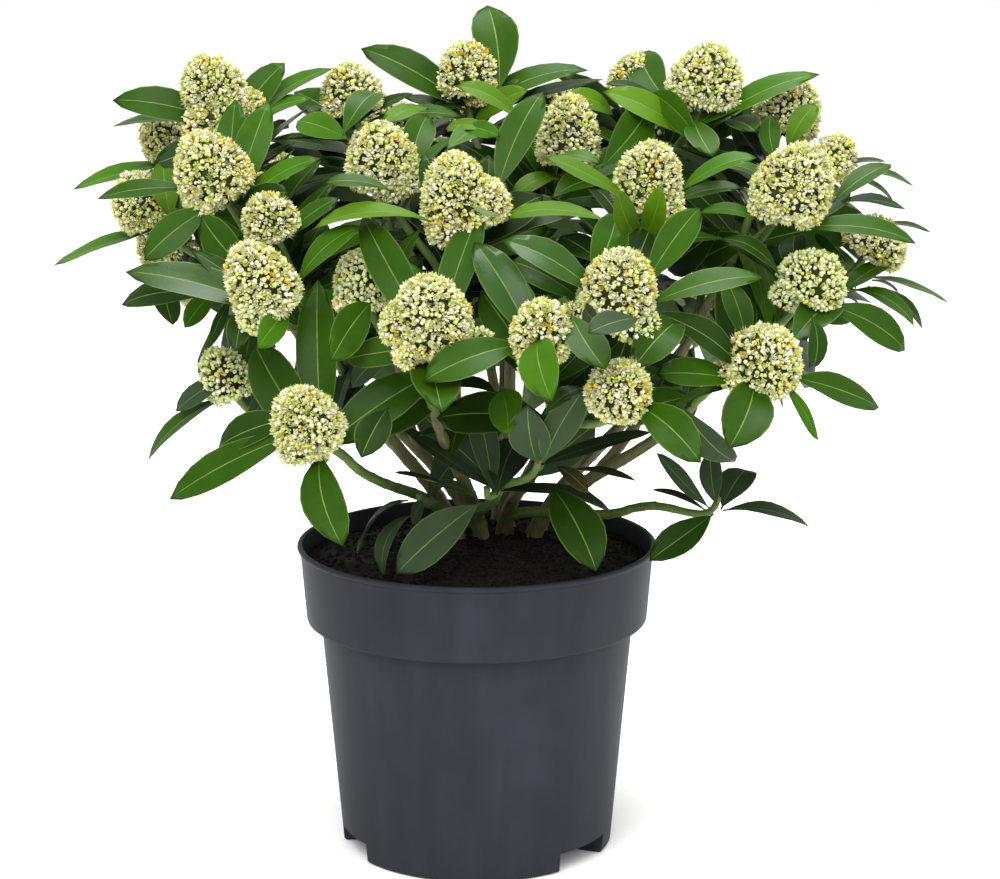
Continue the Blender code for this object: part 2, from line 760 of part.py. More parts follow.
def frame_mass(name, masses, paths, twigs):
    """The stem, twigs and flower heads of a mass, each a solid of its own for now. The stem comes first."""
    stem, branches = twigs[name]
    limb_end = limb_radii(name, paths[name])[-1]
    things = [tube("foliage_" + name, stem, np.linspace(limb_end, TWIG_RADIUS * 1.15, len(stem)), 6)]
    for shoot, twig in zip(masses[name], branches):
        things.append(tube("twig", twig, np.linspace(TWIG_RADIUS * 1.1, TWIG_RADIUS * 0.9, len(twig)), 3))
        if shoot["width"] > 0:
            things.append(build_head("head", shoot))
    return things


def join_mass(things, leaves, leafage):
    """Joins a mass's stem with its twigs, heads and leaves into one body."""
    body = things[0]
    parts = bpy.data.collections.new("parts")
    bpy.context.scene.collection.children.link(parts)
    for thing in things[1:]:
        bpy.context.scene.collection.objects.unlink(thing)
        parts.objects.link(thing)
    for corners in leaves:
        mesh_object("leaf", corners, LEAF_FACES, parts)
    boolean(body, "UNION", parts)
    for thing in list(parts.objects):
        discard(thing)
    bpy.data.collections.remove(parts)
    finish_node(body, leafage)


def main():
    clear_scene()
    plastic = material("pot plastic", (0.058, 0.063, 0.070), 0.42)
    peat = material("peat", (0.012, 0.010, 0.008), 0.95)
    bark = material("bark", (0.075, 0.066, 0.032), 0.80)
    leafage = material("leafage", (0.045, 0.130, 0.018), 0.40)
    masses = shoots_by_mass()
    paths = limb_paths(masses)
    twigs = {name: twig_paths(name, masses, paths) for name in masses}
    numbers = {}
    for name, shoots in masses.items():
        first = sum(len(taken) for taken in numbers.values())
        numbers[name] = list(range(first, first + len(shoots)))
    build_pot(plastic)
    build_soil(peat)
    for name in masses:
        build_limb(name, paths, bark)
    fixed = list(bpy.context.scene.collection.objects)
    frames = {name: frame_mass(name, masses, paths, twigs) for name in masses}
    leaves = grow_leaves(masses, numbers, twigs, Room(masses, twigs, frames, fixed))
    for name in masses:
        join_mass(frames[name], leaves[name], leafage)


main()
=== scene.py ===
"""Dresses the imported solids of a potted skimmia: pot, peat, bark, leaves and flower heads on a pale stage.

Units are metres, +Z is up and the front faces -Y. The origin is the centre of the pot's flat underside.
"""

import math

import bpy
import numpy as np
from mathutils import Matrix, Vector


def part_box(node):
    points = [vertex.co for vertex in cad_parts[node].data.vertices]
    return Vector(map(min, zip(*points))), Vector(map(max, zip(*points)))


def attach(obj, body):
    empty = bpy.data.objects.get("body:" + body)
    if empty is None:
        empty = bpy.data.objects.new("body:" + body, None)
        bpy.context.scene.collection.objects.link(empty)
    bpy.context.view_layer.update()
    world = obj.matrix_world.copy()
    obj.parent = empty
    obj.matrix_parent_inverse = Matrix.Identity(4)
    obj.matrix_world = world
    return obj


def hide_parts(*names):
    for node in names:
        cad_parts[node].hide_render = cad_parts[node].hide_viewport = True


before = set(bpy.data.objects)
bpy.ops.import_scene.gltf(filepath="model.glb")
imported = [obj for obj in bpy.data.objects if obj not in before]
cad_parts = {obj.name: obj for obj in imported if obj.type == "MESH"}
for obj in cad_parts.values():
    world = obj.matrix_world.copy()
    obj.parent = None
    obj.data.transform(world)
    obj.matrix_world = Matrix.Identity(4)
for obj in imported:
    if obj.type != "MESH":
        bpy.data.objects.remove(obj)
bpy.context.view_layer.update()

bl_info = {
    "name": "Potted skimmia",
    "version": (1, 0, 0),
    "blender": (4, 5, 0),
    "location": "View3D > Sidebar > Skimmia",
    "description": "Dresses a potted skimmia with its pot, peat, bark, leaves and flower heads",
    "category": "Object",
}

POT_LOW, POT_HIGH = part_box("pot")
MM = 0.001
UP = np.array((0.0, 0.0, 1.0))
GOLDEN_ANGLE = math.radians(137.508)
GUIDE = np.array((0.17, 0.98, 0.05))
OTHER_GUIDE = np.array((0.98, 0.05, 0.17))
SEEDS = {
    "back heads": 11, "crumbs": 21, "stalks": 31, "limbs": 50, "leaves": 71, "forks": 90, "twigs": 130,
    "leaf places": 400, "florets": 900,
}

# Pot, in metres and radians: a wide band under the rim and three channels across the foot
RIM_RADIUS = (POT_HIGH.x - POT_LOW.x) / 2
POT_HEIGHT = POT_HIGH.z
BASE_RADIUS = 0.0886
WALL = 0.0019
BODY_TOP = (0.1018, 0.151)
BAND_FOOT = (0.1110, 0.153)
BAND_TOP = (0.1148, 0.1985)
CHANNEL_COUNT = 3
CHANNEL_FIRST = math.radians(52)
CHANNEL_HALF_WIDTH = math.radians(15)
CHANNEL_INNER = 0.045
CHANNEL_HEIGHT = 0.013
CHANNEL_CORNER = 0.0006
FOOT_FILLET = 0.0025
FOOT_RING = 0.07
POT_FLOOR = 0.017
BAND_STEP = 0.0012
LIP_RADIUS = 0.0019

# Peat: a flat middle and a slope down to the wall, with lumps given as height, length and seed
SOIL_TOP = 0.196
SOIL_EDGE = 0.190
SOIL_FLAT_RADIUS = 0.078
PEAT_RADIUS = BAND_TOP[0] - WALL - 0.0009
PEAT_SINK = 0.0008
PEAT_LUMPS = ((0.0009, 0.019, 5), (0.0006, 0.006, 6))
PEAT_BASE = 0.12
PEAT_RINGS = 45
PEAT_SIDES = 160
CRUMB_SPREAD = 0.109
CRUMB_LIFT = 0.12

# Leaf tints, and how rough and how shiny the wax of each is
MID, DARK_AND_SHADED, BRIGHT, YOUNG, DULL, GLOSSY, WITHERED = range(7)
TINT_NAMES = ("mid", "dark", "bright", "young", "dull", "glossy", "withered")
LEAF_ROUGHNESS = (0.36, 0.40, 0.38, 0.44, 0.55, 0.30, 0.65)
LEAF_SHINE = (0.09, 0.09, 0.09, 0.09, 0.09, 0.22, 0.09)

# Shoots that show from the front, by mass: the head's centre x, y, z, its width and its height in mm
SEEN_SHOOTS = {
    "left_top": [(-165, -10, 496, 45, 47), (-199, 15, 465, 36, 36), (-210, -25, 428, 42, 40),
                 (-202, 14, 396, 38, 34)],
    "left_front": [(-161, -75, 454, 50, 51), (-124, -100, 428, 37, 32), (-126, -150, 398, 45, 54)],
    "left_low": [(-153, -95, 331, 34, 39), (-98, -185, 322, 44, 48)],
    "top_left": [(-80, 20, 492, 42, 38), (-61, 88, 464, 44, 40)],
    "front_left": [(-67, -125, 394, 38, 41), (-25, -195, 386, 50, 52)],
    "front_top": [(-57, -85, 463, 47, 45), (-11, -125, 446, 46, 54), (8, -105, 439, 28, 30)],
    "top_middle": [(-6, 35, 503, 43, 41), (58, -25, 470, 42, 51)],
    "front_middle": [(39, -200, 378, 38, 42), (84, -200, 344, 40, 38)],
    "front_right": [(105, -90, 451, 45, 47), (84, -175, 399, 48, 50)],
    "top_right": [(102, 70, 496, 34, 34), (145, -10, 503, 50, 46)],
    "right_top": [(199, 5, 482, 44, 41), (193, -95, 448, 52, 54), (225, -15, 454, 32, 32)],
    "right_outer": [(205, -105, 393, 46, 33), (249, -50, 407, 45, 30), (172, -150, 352, 50, 42)],
    "low_left": [(-36, -35, 238, 0, 0)],
    "low_middle": [(7, -76, 252, 0, 0), (39, -102, 282, 0, 0)],
    "low_right": [(152, -45, 238, 0, 0)],
}

# Leaves that show from the front, by mass and shoot. Each row holds the tip's x, y, z in mm, the angle in
# degrees from a leaf that lies broadside to the eye, its width and its bend against the usual ones, its
# sideways sway, its tint, and the root's x, y, z where the leaf doesn't spring from below its head
SEEN_LEAVES = {
    "left_top": (
        (
            (-227, -13, 489, 30, 0.81, 1.5, 0, MID), (-227, -18, 473, 76, 0.86, 1, 0, BRIGHT),
            (-120, 2, 511, -28, 1.04, 1.4, 0, MID), (-90, 8, 507, -58, 0.71, 1.3, 0, BRIGHT),
            (-102, -17, 490, -62, 0.93, 1.8, 0, BRIGHT), (-201, -27, 450, 25, 1.05, 1.6, 0, DARK_AND_SHADED),
            (-133, 24, 477, -108, 1, 0.5, 0, MID),
        ),
        (
            (-257, 10, 430, 68, 0.79, 0.4, 0, BRIGHT),
        ),
        (
            (-265, -27, 387, 72, 0.85, 0.4, 0.08, BRIGHT), (-236, -11, 397, 80, 0.66, 0.6, 0, DARK_AND_SHADED),
        ),
        (
            (-188, -55, 354, -15, 1.13, 0.8, -0.19, DARK_AND_SHADED, -196, -20, 373),
            (-179, -70, 355, 15, 1.01, 0.8, -0.08, BRIGHT, -163, -40, 372),
        ),
    ),
    "left_front": (
        (
            (-148, -35, 492, -12, 0.75, 0.8, 0.02, MID), (-127, -45, 491, -12, 0.82, 0.8, 0.02, BRIGHT),
            (-94, -65, 459, -58, 0.81, 1.5, 0, BRIGHT), (-111, -95, 442, -48, 1.07, 2.1, 0, DARK_AND_SHADED),
            (-230, -72, 435, 56, 0.83, 0.9, 0, MID, -170, -72, 441),
            (-199, -101, 402, 14, 1.1, 0.8, -0.14, MID, -159, -85, 432),
            (-195, -23, 454, 12, 1.15, 0.8, 0.16, YOUNG, -188, -48, 418),
        ),
        (
            (-82, -80, 437, -48, 0.91, 1, 0, MID),
        ),
        (
            (-207, -127, 399, 40, 0.8, 1, 0, GLOSSY),
            (-66, -145, 429, -44, 0.94, 1.9, 0, BRIGHT, -104, -140, 394),
            (-164, -101, 429, -15, 1.07, 0.8, 0.11, MID, -126, -128, 392),
            (-169, -120, 411, 42, 0.6, 0.6, 0, DARK_AND_SHADED),
            (-213, -103, 375, 44, 0.81, 1.5, 0, DARK_AND_SHADED, -148, -118, 384),
            (-158, -135, 355, -50, 1.06, 0.4, -0.45, DARK_AND_SHADED, -144, -125, 383),
            (-139, -164, 358, 20, 1.12, 1.4, 0, DARK_AND_SHADED, -134, -135, 380),
            (-125, -180, 363, -14, 1.08, 0.8, -0.17, BRIGHT, -108, -145, 380),
        ),
    ),
    "left_low": (
        (
            (-136, -61, 360, -15, 0.77, 0.8, 0.08, MID),
            (-182, -102, 309, 40, 0.99, 0.9, 0, DULL, -146, -92, 332),
            (-200, -100, 278, 58, 0.74, 1.5, 0, MID, -151, -95, 317),
            (-137, -130, 309, -20, 1.12, 0.4, -0.19, DULL, -123, -100, 318),
        ),
        (
            (-180, -163, 269, 15, 0.62, 0.8, -0.09, MID, -98, -178, 314),
            (-151, -157, 299, 28, 1.02, 1.6, 0, DARK_AND_SHADED, -102, -172, 321),
            (-74, -234, 259, 12, 1.08, 0.8, -0.26, MID, -89, -182, 302),
            (-26, -148, 341, -16, 0.97, 0.8, 0.06, MID), (-132, -120, 355, -10, 1, 0.8, 0.05, MID),
            (-94, -112, 392, -12, 0.65, 0.8, 0, MID),
            (-64, -215, 306, 15, 1.1, 0.8, -0.04, DARK_AND_SHADED, -50, -172, 326),
        ),
    ),
    "top_left": (
        (
            (-40, 21, 490, -68, 1, 0.8, 0, DARK_AND_SHADED), (-8, 2, 477, -60, 0.69, 1.2, 0, MID),
            (-57, -30, 476, 52, 0.94, 1.3, 0, YOUNG, -30, 5, 482), (-7, 24, 482, -68, 0.8, 0.7, 0, DARK_AND_SHADED),
            (-112, 20, 481, 66, 1, 0.9, 0, MID), (-122, 0, 464, 95, 1, 0.4, 0, MID),
        ),
        (),
    ),
    "front_left": (
        (
            (-82, -195, 358, -16, 1.1, 0.8, -0.19, MID, -60, -150, 385),
        ),
        (
            (-66, -129, 433, -12, 0.68, 0.8, 0, MID), (4, -127, 437, -12, 0.61, 0.8, 0.03, MID),
            (-76, -164, 353, 32, 1.01, 0.9, 0, MID),
            (-74, -117, 327, 30, 1.1, 1.9, 0, DULL, -46, -110, 351),
            (-17, -241, 338, -12, 1.06, 0.8, -0.14, MID), (17, -144, 370, -22, 1.05, 1.4, 0, MID),
        ),
    ),
    "front_top": (
        (
            (-59, -55, 497, -28, 0.95, 2.3, 0, MID, -79, -95, 476),
            (-109, -52, 480, 22, 1.07, 1.5, 0, BRIGHT, -75, -82, 472),
            (-88, -129, 452, 56, 1, 1.3, 0, MID, -49, -124, 447), (-53, -104, 435, -112, 1, 0.4, 0.45, MID),
            (-30, -17, 480, 14, 1.12, 0.8, 0.25, MID, -39, -60, 451), (-37, -93, 449, 100, 1, 0.4, 0, MID),
        ),
        (
            (-95, -140, 426, 66, 0.78, 1.7, 0, YOUNG, -25, -140, 431),
            (8, -60, 479, -44, 0.89, 0.8, 0, BRIGHT, -17, -100, 468),
            (-18, -66, 477, 50, 1.07, 1.5, 0, YOUNG, 9, -80, 478),
            (15, -88, 475, -30, 1.09, 1.2, 0, BRIGHT, -8, -70, 479),
        ),
        (
            (41, -60, 499, -12, 0.82, 0.8, 0.12, MID, 13, -100, 442),
            (15, -175, 439, 108, 1, 0.4, -0.45, MID, -2, -155, 442),
        ),
    ),
    "top_middle": (
        (
            (7, 74, 542, -8, 1.18, 0.8, -0.18, MID, 15, 25, 491), (-74, 38, 517, 24, 0.78, 1.7, 0, MID),
            (72, 38, 503, -56, 0.85, 1.7, 0, MID), (82, 43, 497, -68, 0.58, 0.5, 0, DARK_AND_SHADED),
            (33, 12, 493, -38, 0.99, 1.6, 0, YOUNG), (-47, 27, 487, 68, 1, 1, 0, DARK_AND_SHADED),
            (28, 27, 499, -60, 0.9, 0.7, 0, MID),
        ),
        (
            (-13, -15, 498, 52, 0.84, 2.1, 0, YOUNG, 29, -10, 473), (23, -45, 431, 48, 1.04, 2.1, 0, YOUNG),
            (56, -22, 493, 40, 1.08, 2.4, 0, YOUNG, 86, -12, 479),
            (109, -9, 485, 14, 1.11, 0.8, -0.06, MID, 77, -55, 452),
            (78, -24, 441, -50, 1.1, 1, 0, MID, 47, -60, 434),
        ),
    ),
    "front_middle": (
        (
            (0, -147, 420, 18, 0.8, 1.3, 0, GLOSSY), (-28, -223, 352, 30, 1.04, 1.5, 0, MID, 27, -192, 367),
            (44, -258, 348, 24, 1.07, 2, 0, BRIGHT, 38, -205, 374),
            (74, -234, 361, -20, 1.08, 0.4, -0.16, MID, 56, -185, 384),
            (20, -175, 311, 15, 1.13, 0.8, 0.2, BRIGHT, 15, -125, 328),
            (-14, -85, 322, 55, 1.08, 1.5, 0, DARK_AND_SHADED, 13, -110, 322),
        ),
        (
            (128, -236, 308, -14, 1.09, 0.8, 0.17, MID, 92, -192, 333),
            (156, -133, 285, 36, 1.01, 1.3, 0, DULL, 121, -155, 325),
            (64, -158, 335, -40, 1.08, 1.7, 0, MID, 41, -175, 323),
        ),
    ),
    "front_right": (
        (
            (41, -105, 465, 52, 0.74, 0.7, 0, YOUNG, 94, -100, 437),
            (83, -147, 451, 14, 0.99, 0.8, 0.27, YOUNG, 98, -122, 417),
            (109, -147, 453, -14, 1.01, 0.8, -0.28, YOUNG, 99, -123, 418),
            (170, -85, 462, -56, 0.98, 1.5, 0, BRIGHT, 124, -85, 441),
            (162, -80, 443, -58, 0.99, 1, 0, MID, 119, -80, 434),
            (144, -74, 461, -20, 1.11, 0.4, -0.15, MID, 135, -30, 479),
            (179, -60, 445, -58, 1, 1.6, 0, MID, 147, -60, 454),
            (76, -80, 457, -60, 1, 1.8, 0, BRIGHT, 49, -70, 460),
        ),
        (
            (84, -121, 433, 12, 1.05, 0.8, -0.07, MID, 67, -165, 397),
            (52, -65, 411, 30, 1.1, 0.8, 0, DARK_AND_SHADED, 78, -100, 399),
            (133, -125, 437, 12, 0.86, 0.8, 0.16, MID, 99, -165, 397),
            (16, -167, 424, 40, 0.85, 1.6, 0, GLOSSY, 74, -172, 390),
            (21, -145, 408, 25, 1.06, 2, 0, GLOSSY, 63, -160, 387),
            (169, -153, 400, -46, 0.83, 1.2, 0, MID, 101, -168, 386),
            (120, -34, 385, 15, 1.08, 0.8, -0.02, DARK_AND_SHADED, 151, -75, 418),
            (139, -43, 392, 20, 1.08, 0.9, 0, DARK_AND_SHADED, 168, -85, 414),
            (154, -155, 349, -38, 0.85, 1.6, 0, DARK_AND_SHADED, 103, -165, 382),
            (91, -201, 355, 18, 1.06, 1.8, 0, MID, 122, -155, 376),
            (16, -120, 430, 64, 0.82, 1.4, 0, YOUNG, 79, -125, 429),
            (64, -242, 383, 40, 0.99, 0.8, 0, DULL, 94, -205, 385),
            (64, -184, 388, -30, 1.09, 1.3, 0, DULL, 75, -206, 378),
        ),
    ),
    "top_right": (
        (
            (107, 80, 511, 12, 1.17, 0.8, 0.22, MID, 122, 26, 485),
            (82, 10, 497, 70, 1, 0.8, 0, DARK_AND_SHADED, 118, 20, 487),
        ),
        (
            (215, -10, 505, -42, 0.61, 1.5, 0, BRIGHT, 140, -15, 469),
            (79, -18, 495, 38, 0.85, 1.6, 0, YOUNG, 136, -18, 464),
            (184, 32, 448, -20, 1.08, 0.4, -0.2, DARK_AND_SHADED, 160, 0, 480),
            (173, -41, 472, -50, 1.16, 0.8, 0, DARK_AND_SHADED, 159, 2, 475),
            (173, -10, 491, -44, 1.11, 1.2, 0, BRIGHT, 136, -22, 473),
            (136, -44, 471, 25, 1.14, 0.4, 0.27, BRIGHT, 109, -10, 494),
        ),
    ),
    "right_top": (
        (
            (212, -19, 487, -18, 1.12, 2.5, 0.01, YOUNG, 193, -30, 460),
            (184, -15, 481, 18, 1.15, 0.4, 0.32, MID, 186, -40, 454),
        ),
        (
            (266, -95, 411, -50, 0.77, 1.4, 0, MID, 194, -100, 421),
            (255, -55, 454, -44, 0.94, 1.1, 0, MID, 217, -80, 434),
            (259, -40, 429, -72, 1, 1.3, 0, DARK_AND_SHADED, 235, -45, 444),
            (264, -60, 427, -70, 1, 1.1, 0, DARK_AND_SHADED, 220, -65, 432),
            (134, -100, 430, 62, 0.92, 2, 0, BRIGHT, 178, -95, 421),
            (146, -110, 416, 56, 1, 2.3, 0, DARK_AND_SHADED, 182, -115, 395),
            (149, -95, 411, 62, 1, 2, 0, DARK_AND_SHADED, 185, -100, 385),
            (197, -61, 411, -18, 1.14, 2.2, 0, DARK_AND_SHADED, 195, -95, 390),
            (207, -73, 414, -55, 1.16, 0.4, -0.45, MID, 223, -90, 399),
        ),
        (
            (257, -15, 451, -74, 1, 0.9, 0, DARK_AND_SHADED, 226, -20, 448),
            (273, -28, 437, -74, 0.95, 1.3, 0, MID, 238, -28, 446),
        ),
    ),
    "right_outer": (
        (
            (221, -95, 379, -16, 1.07, 0.8, 0.1, GLOSSY, 187, -140, 358),
            (260, -103, 347, -34, 1, 1.9, 0, MID, 211, -108, 376),
            (200, -133, 341, -24, 1.05, 2.5, 0.11, DARK_AND_SHADED, 200, -128, 373),
        ),
        (
            (295, -45, 366, -74, 0.71, 0.9, 0, MID, 243, -45, 383),
            (269, -75, 357, -58, 1, 2.2, 0, MID, 231, -70, 379),
            (277, -58, 352, -64, 0.79, 1.8, 0, DARK_AND_SHADED, 242, -58, 379),
            (254, -63, 393, -44, 1.09, 1.3, 0, MID, 223, -85, 379),
            (282, -48, 411, -76, 0.84, 0.8, 0, DARK_AND_SHADED, 249, -48, 417),
            (263, -45, 373, -76, 1, 1.6, 0, DARK_AND_SHADED, 247, -40, 380),
        ),
        (
            (145, -218, 312, -12, 1.08, 0.8, 0.11, MID, 165, -150, 340),
            (202, -165, 305, 44, 0.88, 0.4, 0.45, BRIGHT, 183, -150, 335),
            (242, -128, 317, -46, 1.01, 0.7, 0, MID, 186, -150, 340),
            (105, -177, 347, 40, 1.02, 0.9, 0, MID, 155, -152, 338),
            (116, -162, 324, 66, 0.96, 0.9, 0, BRIGHT, 154, -152, 335),
            (150, -115, 392, 14, 0.97, 0.8, -0.1, MID, 161, -145, 357),
        ),
    ),
    "low_left": (
        (
            (-75, -55, 205, 66, 0.97, 2.5, -0.45, DULL, -43, -45, 240),
            (-57, -75, 196, 40, 0.9, 2.5, -0.3, DULL, -39, -45, 231),
            (-40, -61, 228, -20, 1.21, 0.4, -0.29, DULL, -33, -45, 240),
        ),
    ),
    "low_middle": (
        (
            (-49, -95, 205, 14, 1.06, 0.8, -0.06, DULL, 3, -80, 247),
            (-1, -49, 307, -18, 0.83, 0.4, -0.16, DULL),
            (27, -24, 276, -14, 1.19, 0.8, 0.06, DULL, 13, -82, 252), (85, -64, 237, -70, 1, 1.2, 0, DULL),
            (-49, -51, 291, 58, 0.68, 0.4, 0.35, DULL),
            (-3, -29, 305, -30, 1.17, 1.1, 0, MID, -16, -60, 268),
            (-51, -75, 265, 70, 0.65, 0.5, 0, WITHERED, -15, -70, 254),
            (-28, -72, 257, 60, 1, 1, 0, DULL, 1, -72, 249),
            (-36, -62, 285, 66, 1, 1.3, 0, DULL, -5, -62, 289),
        ),
        (
            (31, -181, 330, -14, 0.96, 0.8, 0.05, DULL, 38, -128, 283),
            (64, -173, 338, 16, 0.98, 0.8, 0.19, DULL, 41, -148, 288),
            (108, -100, 296, -58, 0.65, 0.4, 0, DULL),
            (73, -143, 220, -20, 1.14, 1.5, 0, DARK_AND_SHADED, 47, -90, 259),
            (99, -95, 264, -70, 0.69, 0.9, 0, WITHERED, 57, -90, 270),
            (69, -104, 259, -30, 1.11, 1.4, 0, WITHERED, 49, -95, 274),
        ),
    ),
    "low_right": (
        (
            (114, -38, 269, 50, 0.87, 0.4, 0.28, DULL), (111, -42, 246, 68, 0.87, 0.8, 0, WITHERED),
            (149, -33, 269, -18, 1.16, 1.7, 0, DULL, 152, -48, 237),
            (175, 0, 249, -22, 1.18, 1.4, 0, DULL, 155, -46, 234),
            (211, -49, 223, -64, 0.98, 1.5, 0, DULL, 156, -44, 233),
            (108, -82, 210, 16, 1.08, 0.8, 0.06, DARK_AND_SHADED, 149, -62, 235),
        ),
    ),
}
DULL_MASSES = ("low_left", "low_middle", "low_right")
GREEN_BOUGHS = ("left_low", "low_left", "low_middle", "low_right")

# The eye in front of the plant, and what it sees as x and z in mm on the plane y = 0. Leaves of no row stay
# inside the crown's outline and off the gaps, which have a radius each
EYE = (0.0151, -1.8026, 0.6688)
CROWN_OUTLINE = (
    (-207, 472), (-205, 493), (-187, 505), (-145, 504), (-111, 498), (-88, 508), (-78, 515), (-59, 502),
    (-53, 490), (-28, 493), (-19, 520), (8, 528), (23, 504), (53, 505), (78, 499), (90, 510), (103, 512),
    (121, 504), (134, 514), (169, 514), (176, 498), (204, 499), (218, 485), (221, 469), (244, 451),
    (248, 421), (274, 402), (275, 385), (263, 371), (266, 357), (236, 349), (220, 340), (218, 314),
    (222, 302), (212, 298), (193, 282), (166, 269), (144, 261), (113, 271), (98, 279), (81, 269), (75, 238),
    (54, 229), (-47, 229), (-57, 261), (-84, 279), (-115, 297), (-146, 287), (-175, 297), (-176, 328),
    (-160, 346), (-166, 359), (-207, 360), (-216, 373), (-218, 399), (-214, 439),
)
SKY_GAPS = (
    (-124, 329, 7), (-118, 319, 6), (-110, 368, 3), (-86, 316, 6), (-115, 344, 3), (25, 308, 4),
    (4, 308, 3), (57, 393, 2), (74, 412, 3), (138, 402, 1), (129, 385, 2), (143, 362, 7), (129, 330, 8),
    (137, 327, 7), (155, 330, 3), (191, 393, 5), (152, 413, 2), (-80, 269, 5), (-46, 249, 6), (152, 292, 5),
    (154, 281, 3), (197, 293, 4),
)

# Side lobes of heads, by mass and place in it: x, y, z from the head's centre, its width and its height
# in mm, and whether it is loose
LOBES = {
    ("left_top", 0): ((21, -3, -9, 27, 21, False), (2, 0, -12, 54, 29, False)),
    ("left_front", 0): ((-3, -5, -17, 27, 22, False),),
    ("left_front", 2): ((-2, -6, -18, 26, 24, True),),
    ("left_low", 1): ((-4, -5, -11, 29, 21, False),),
    ("front_left", 0): ((-4, -3, -8, 30, 24, True),),
    ("front_left", 1): ((-18, -4, -4, 24, 28, False), (-13, -6, -20, 18, 22, False),
                        (27, 2, -15, 22, 8, True)),
    ("front_top", 0): ((15, -3, -10, 27, 25, False), (6, -4, -17, 24, 20, False)),
    ("front_top", 1): ((16, 4, -4, 34, 30, False), (-4, -5, -18, 30, 24, False)),
    ("top_middle", 0): ((10, -3, -12, 24, 26, False),),
    ("front_middle", 0): ((-6, -5, -17, 18, 16, False),),
    ("front_right", 0): ((13, -3, -19, 20, 24, False),),
    ("front_right", 1): ((-25, 2, -16, 18, 13, False), (8, -3, -19, 34, 18, True)),
    ("top_right", 1): ((-14, -3, -9, 26, 22, False),),
    ("right_top", 1): ((-17, -3, -12, 24, 22, False),),
    ("right_outer", 0): ((-17, -4, -10, 22, 18, True),),
    ("right_outer", 2): ((-19, -3, -8, 26, 20, False),),
}

# Heads whose florets are still round greenish buds on stalks, by mass and place in it
LOOSE_HEADS = {("left_low", 0), ("front_left", 0), ("right_outer", 0)}

# The far side of the crown is a dome of flower heads in rows, shared out between masses by direction
DOME_CENTRE = (0.019, 0.008)
DOME_RADIUS = (0.232, 0.208)
DOME_FOOT = 0.330
DOME_RISE = 0.165
DOME_POWER = 2.6
BACK_ROWS = (
    {"level": "low", "reach": 1.00, "first": 24, "last": 156, "count": 6},
    {"level": "low", "reach": 0.86, "first": 12, "last": 168, "count": 6},
    {"level": "upper", "reach": 0.56, "first": 28, "last": 104, "count": 3},
)
BACK_SECTORS = {
    "low": ("back_right", "back_middle", "back_left"),
    "upper": ("back_top_right", "back_top_left"),
}
BACK_HEAD = (0.045, 0.043)
BACK_MOVES = {
    ("back_left", 1): (0, 0, 34),
    ("back_right", 0): (-4, 0, 22),
    ("back_top_right", 1): (-10, 0, -12),
}
BACK_SCATTER = 0.007

# Limbs: stems stand on the peat with their feet at these x and y in mm, over a gap in mm, and boughs leave
# the side of another limb
STEM_FEET = {
    "left_top": (-15, 50), "left_front": (-14, 32), "front_left": (2, 35), "front_middle": (18, 44),
    "right_outer": (38, 37), "top_middle": (19, 64), "back_left": (-4, 70), "back_middle": (15, 82),
    "back_right": (41, 58),
}
LIMB_REACH = 0.60
LIMB_GAP = 0.3
STEM_PULL = 0.28
BOUGH_PULL = 0.30
END_PULL = 0.33
END_RISE = 0.30
STEM_RADIUS = (0.0046, 0.0031)
BOUGH_RADIUS = (0.0036, 0.0028)
ROOT_FLARE = 0.55
ROOT_FLARE_LENGTH = 0.009
BARK_RIDGES = ((3, 0.40), (5, 0.32), (8, 0.24), (11, 0.18))
SCAR_FIRST = 0.012
SCAR_STEP = 0.017
SCAR_SCATTER = 0.004
SCAR_HEIGHT = 0.11
SCAR_WIDTH = 0.0016
CARRIED_BY = {
    "top_left": ("back_left", 0.45),
    "front_top": ("front_left", 0.42),
    "front_right": ("front_middle", 0.42),
    "top_right": ("back_top_right", 0.40),
    "right_top": ("right_outer", 0.42),
    "back_top_left": ("back_middle", 0.42),
    "back_top_right": ("back_right", 0.30),
    "left_low": ("left_front", 0.12),
    "low_left": ("left_low", 0.16),
    "low_middle": ("front_left", 0.12),
    "low_right": ("front_middle", 0.12),
}

# Twigs and leaves
HEAD_SEAT = 0.40
TWIG_RADIUS = 0.0026
TWIG_TAPER = (1.1, 0.8)
TWIG_RIDGE = 0.05
FORK_RADIUS = TWIG_RADIUS * 1.15
FORK_RIDGE = 0.06
TWIG_FORK = 0.30
TWIG_PULL = 0.30
TWIG_END_PULL = 0.38
TWIG_INTO_HEAD = 0.35
FORK_OVERLAP = 0.003
TWIG_OVERLAP = 0.004
LEAFY_TIP = 0.004
LEAN = math.radians(34)
LEAVES_FLOWERING = 9
LEAVES_BETWEEN = 10
LEAVES_LEAFY = 6
BETWEEN_SLOTS = (1.5, 1.45)
BETWEEN_SHARES = (0.25, 0.9)
SEEN_STAND_IN = 3
LEAF_LENGTH = (0.058, 0.080)
LEAF_FIRST = 0.008
LEAF_STEP = 0.0054
SEEN_FIRST = 0.006
SEEN_STEP = 0.003
LEAF_RISE = (math.radians(48), math.radians(-2))
TURN_SCATTER = math.radians(12)
CLIMB_SCATTER = math.radians(7)
LENGTH_SCATTER = 0.08
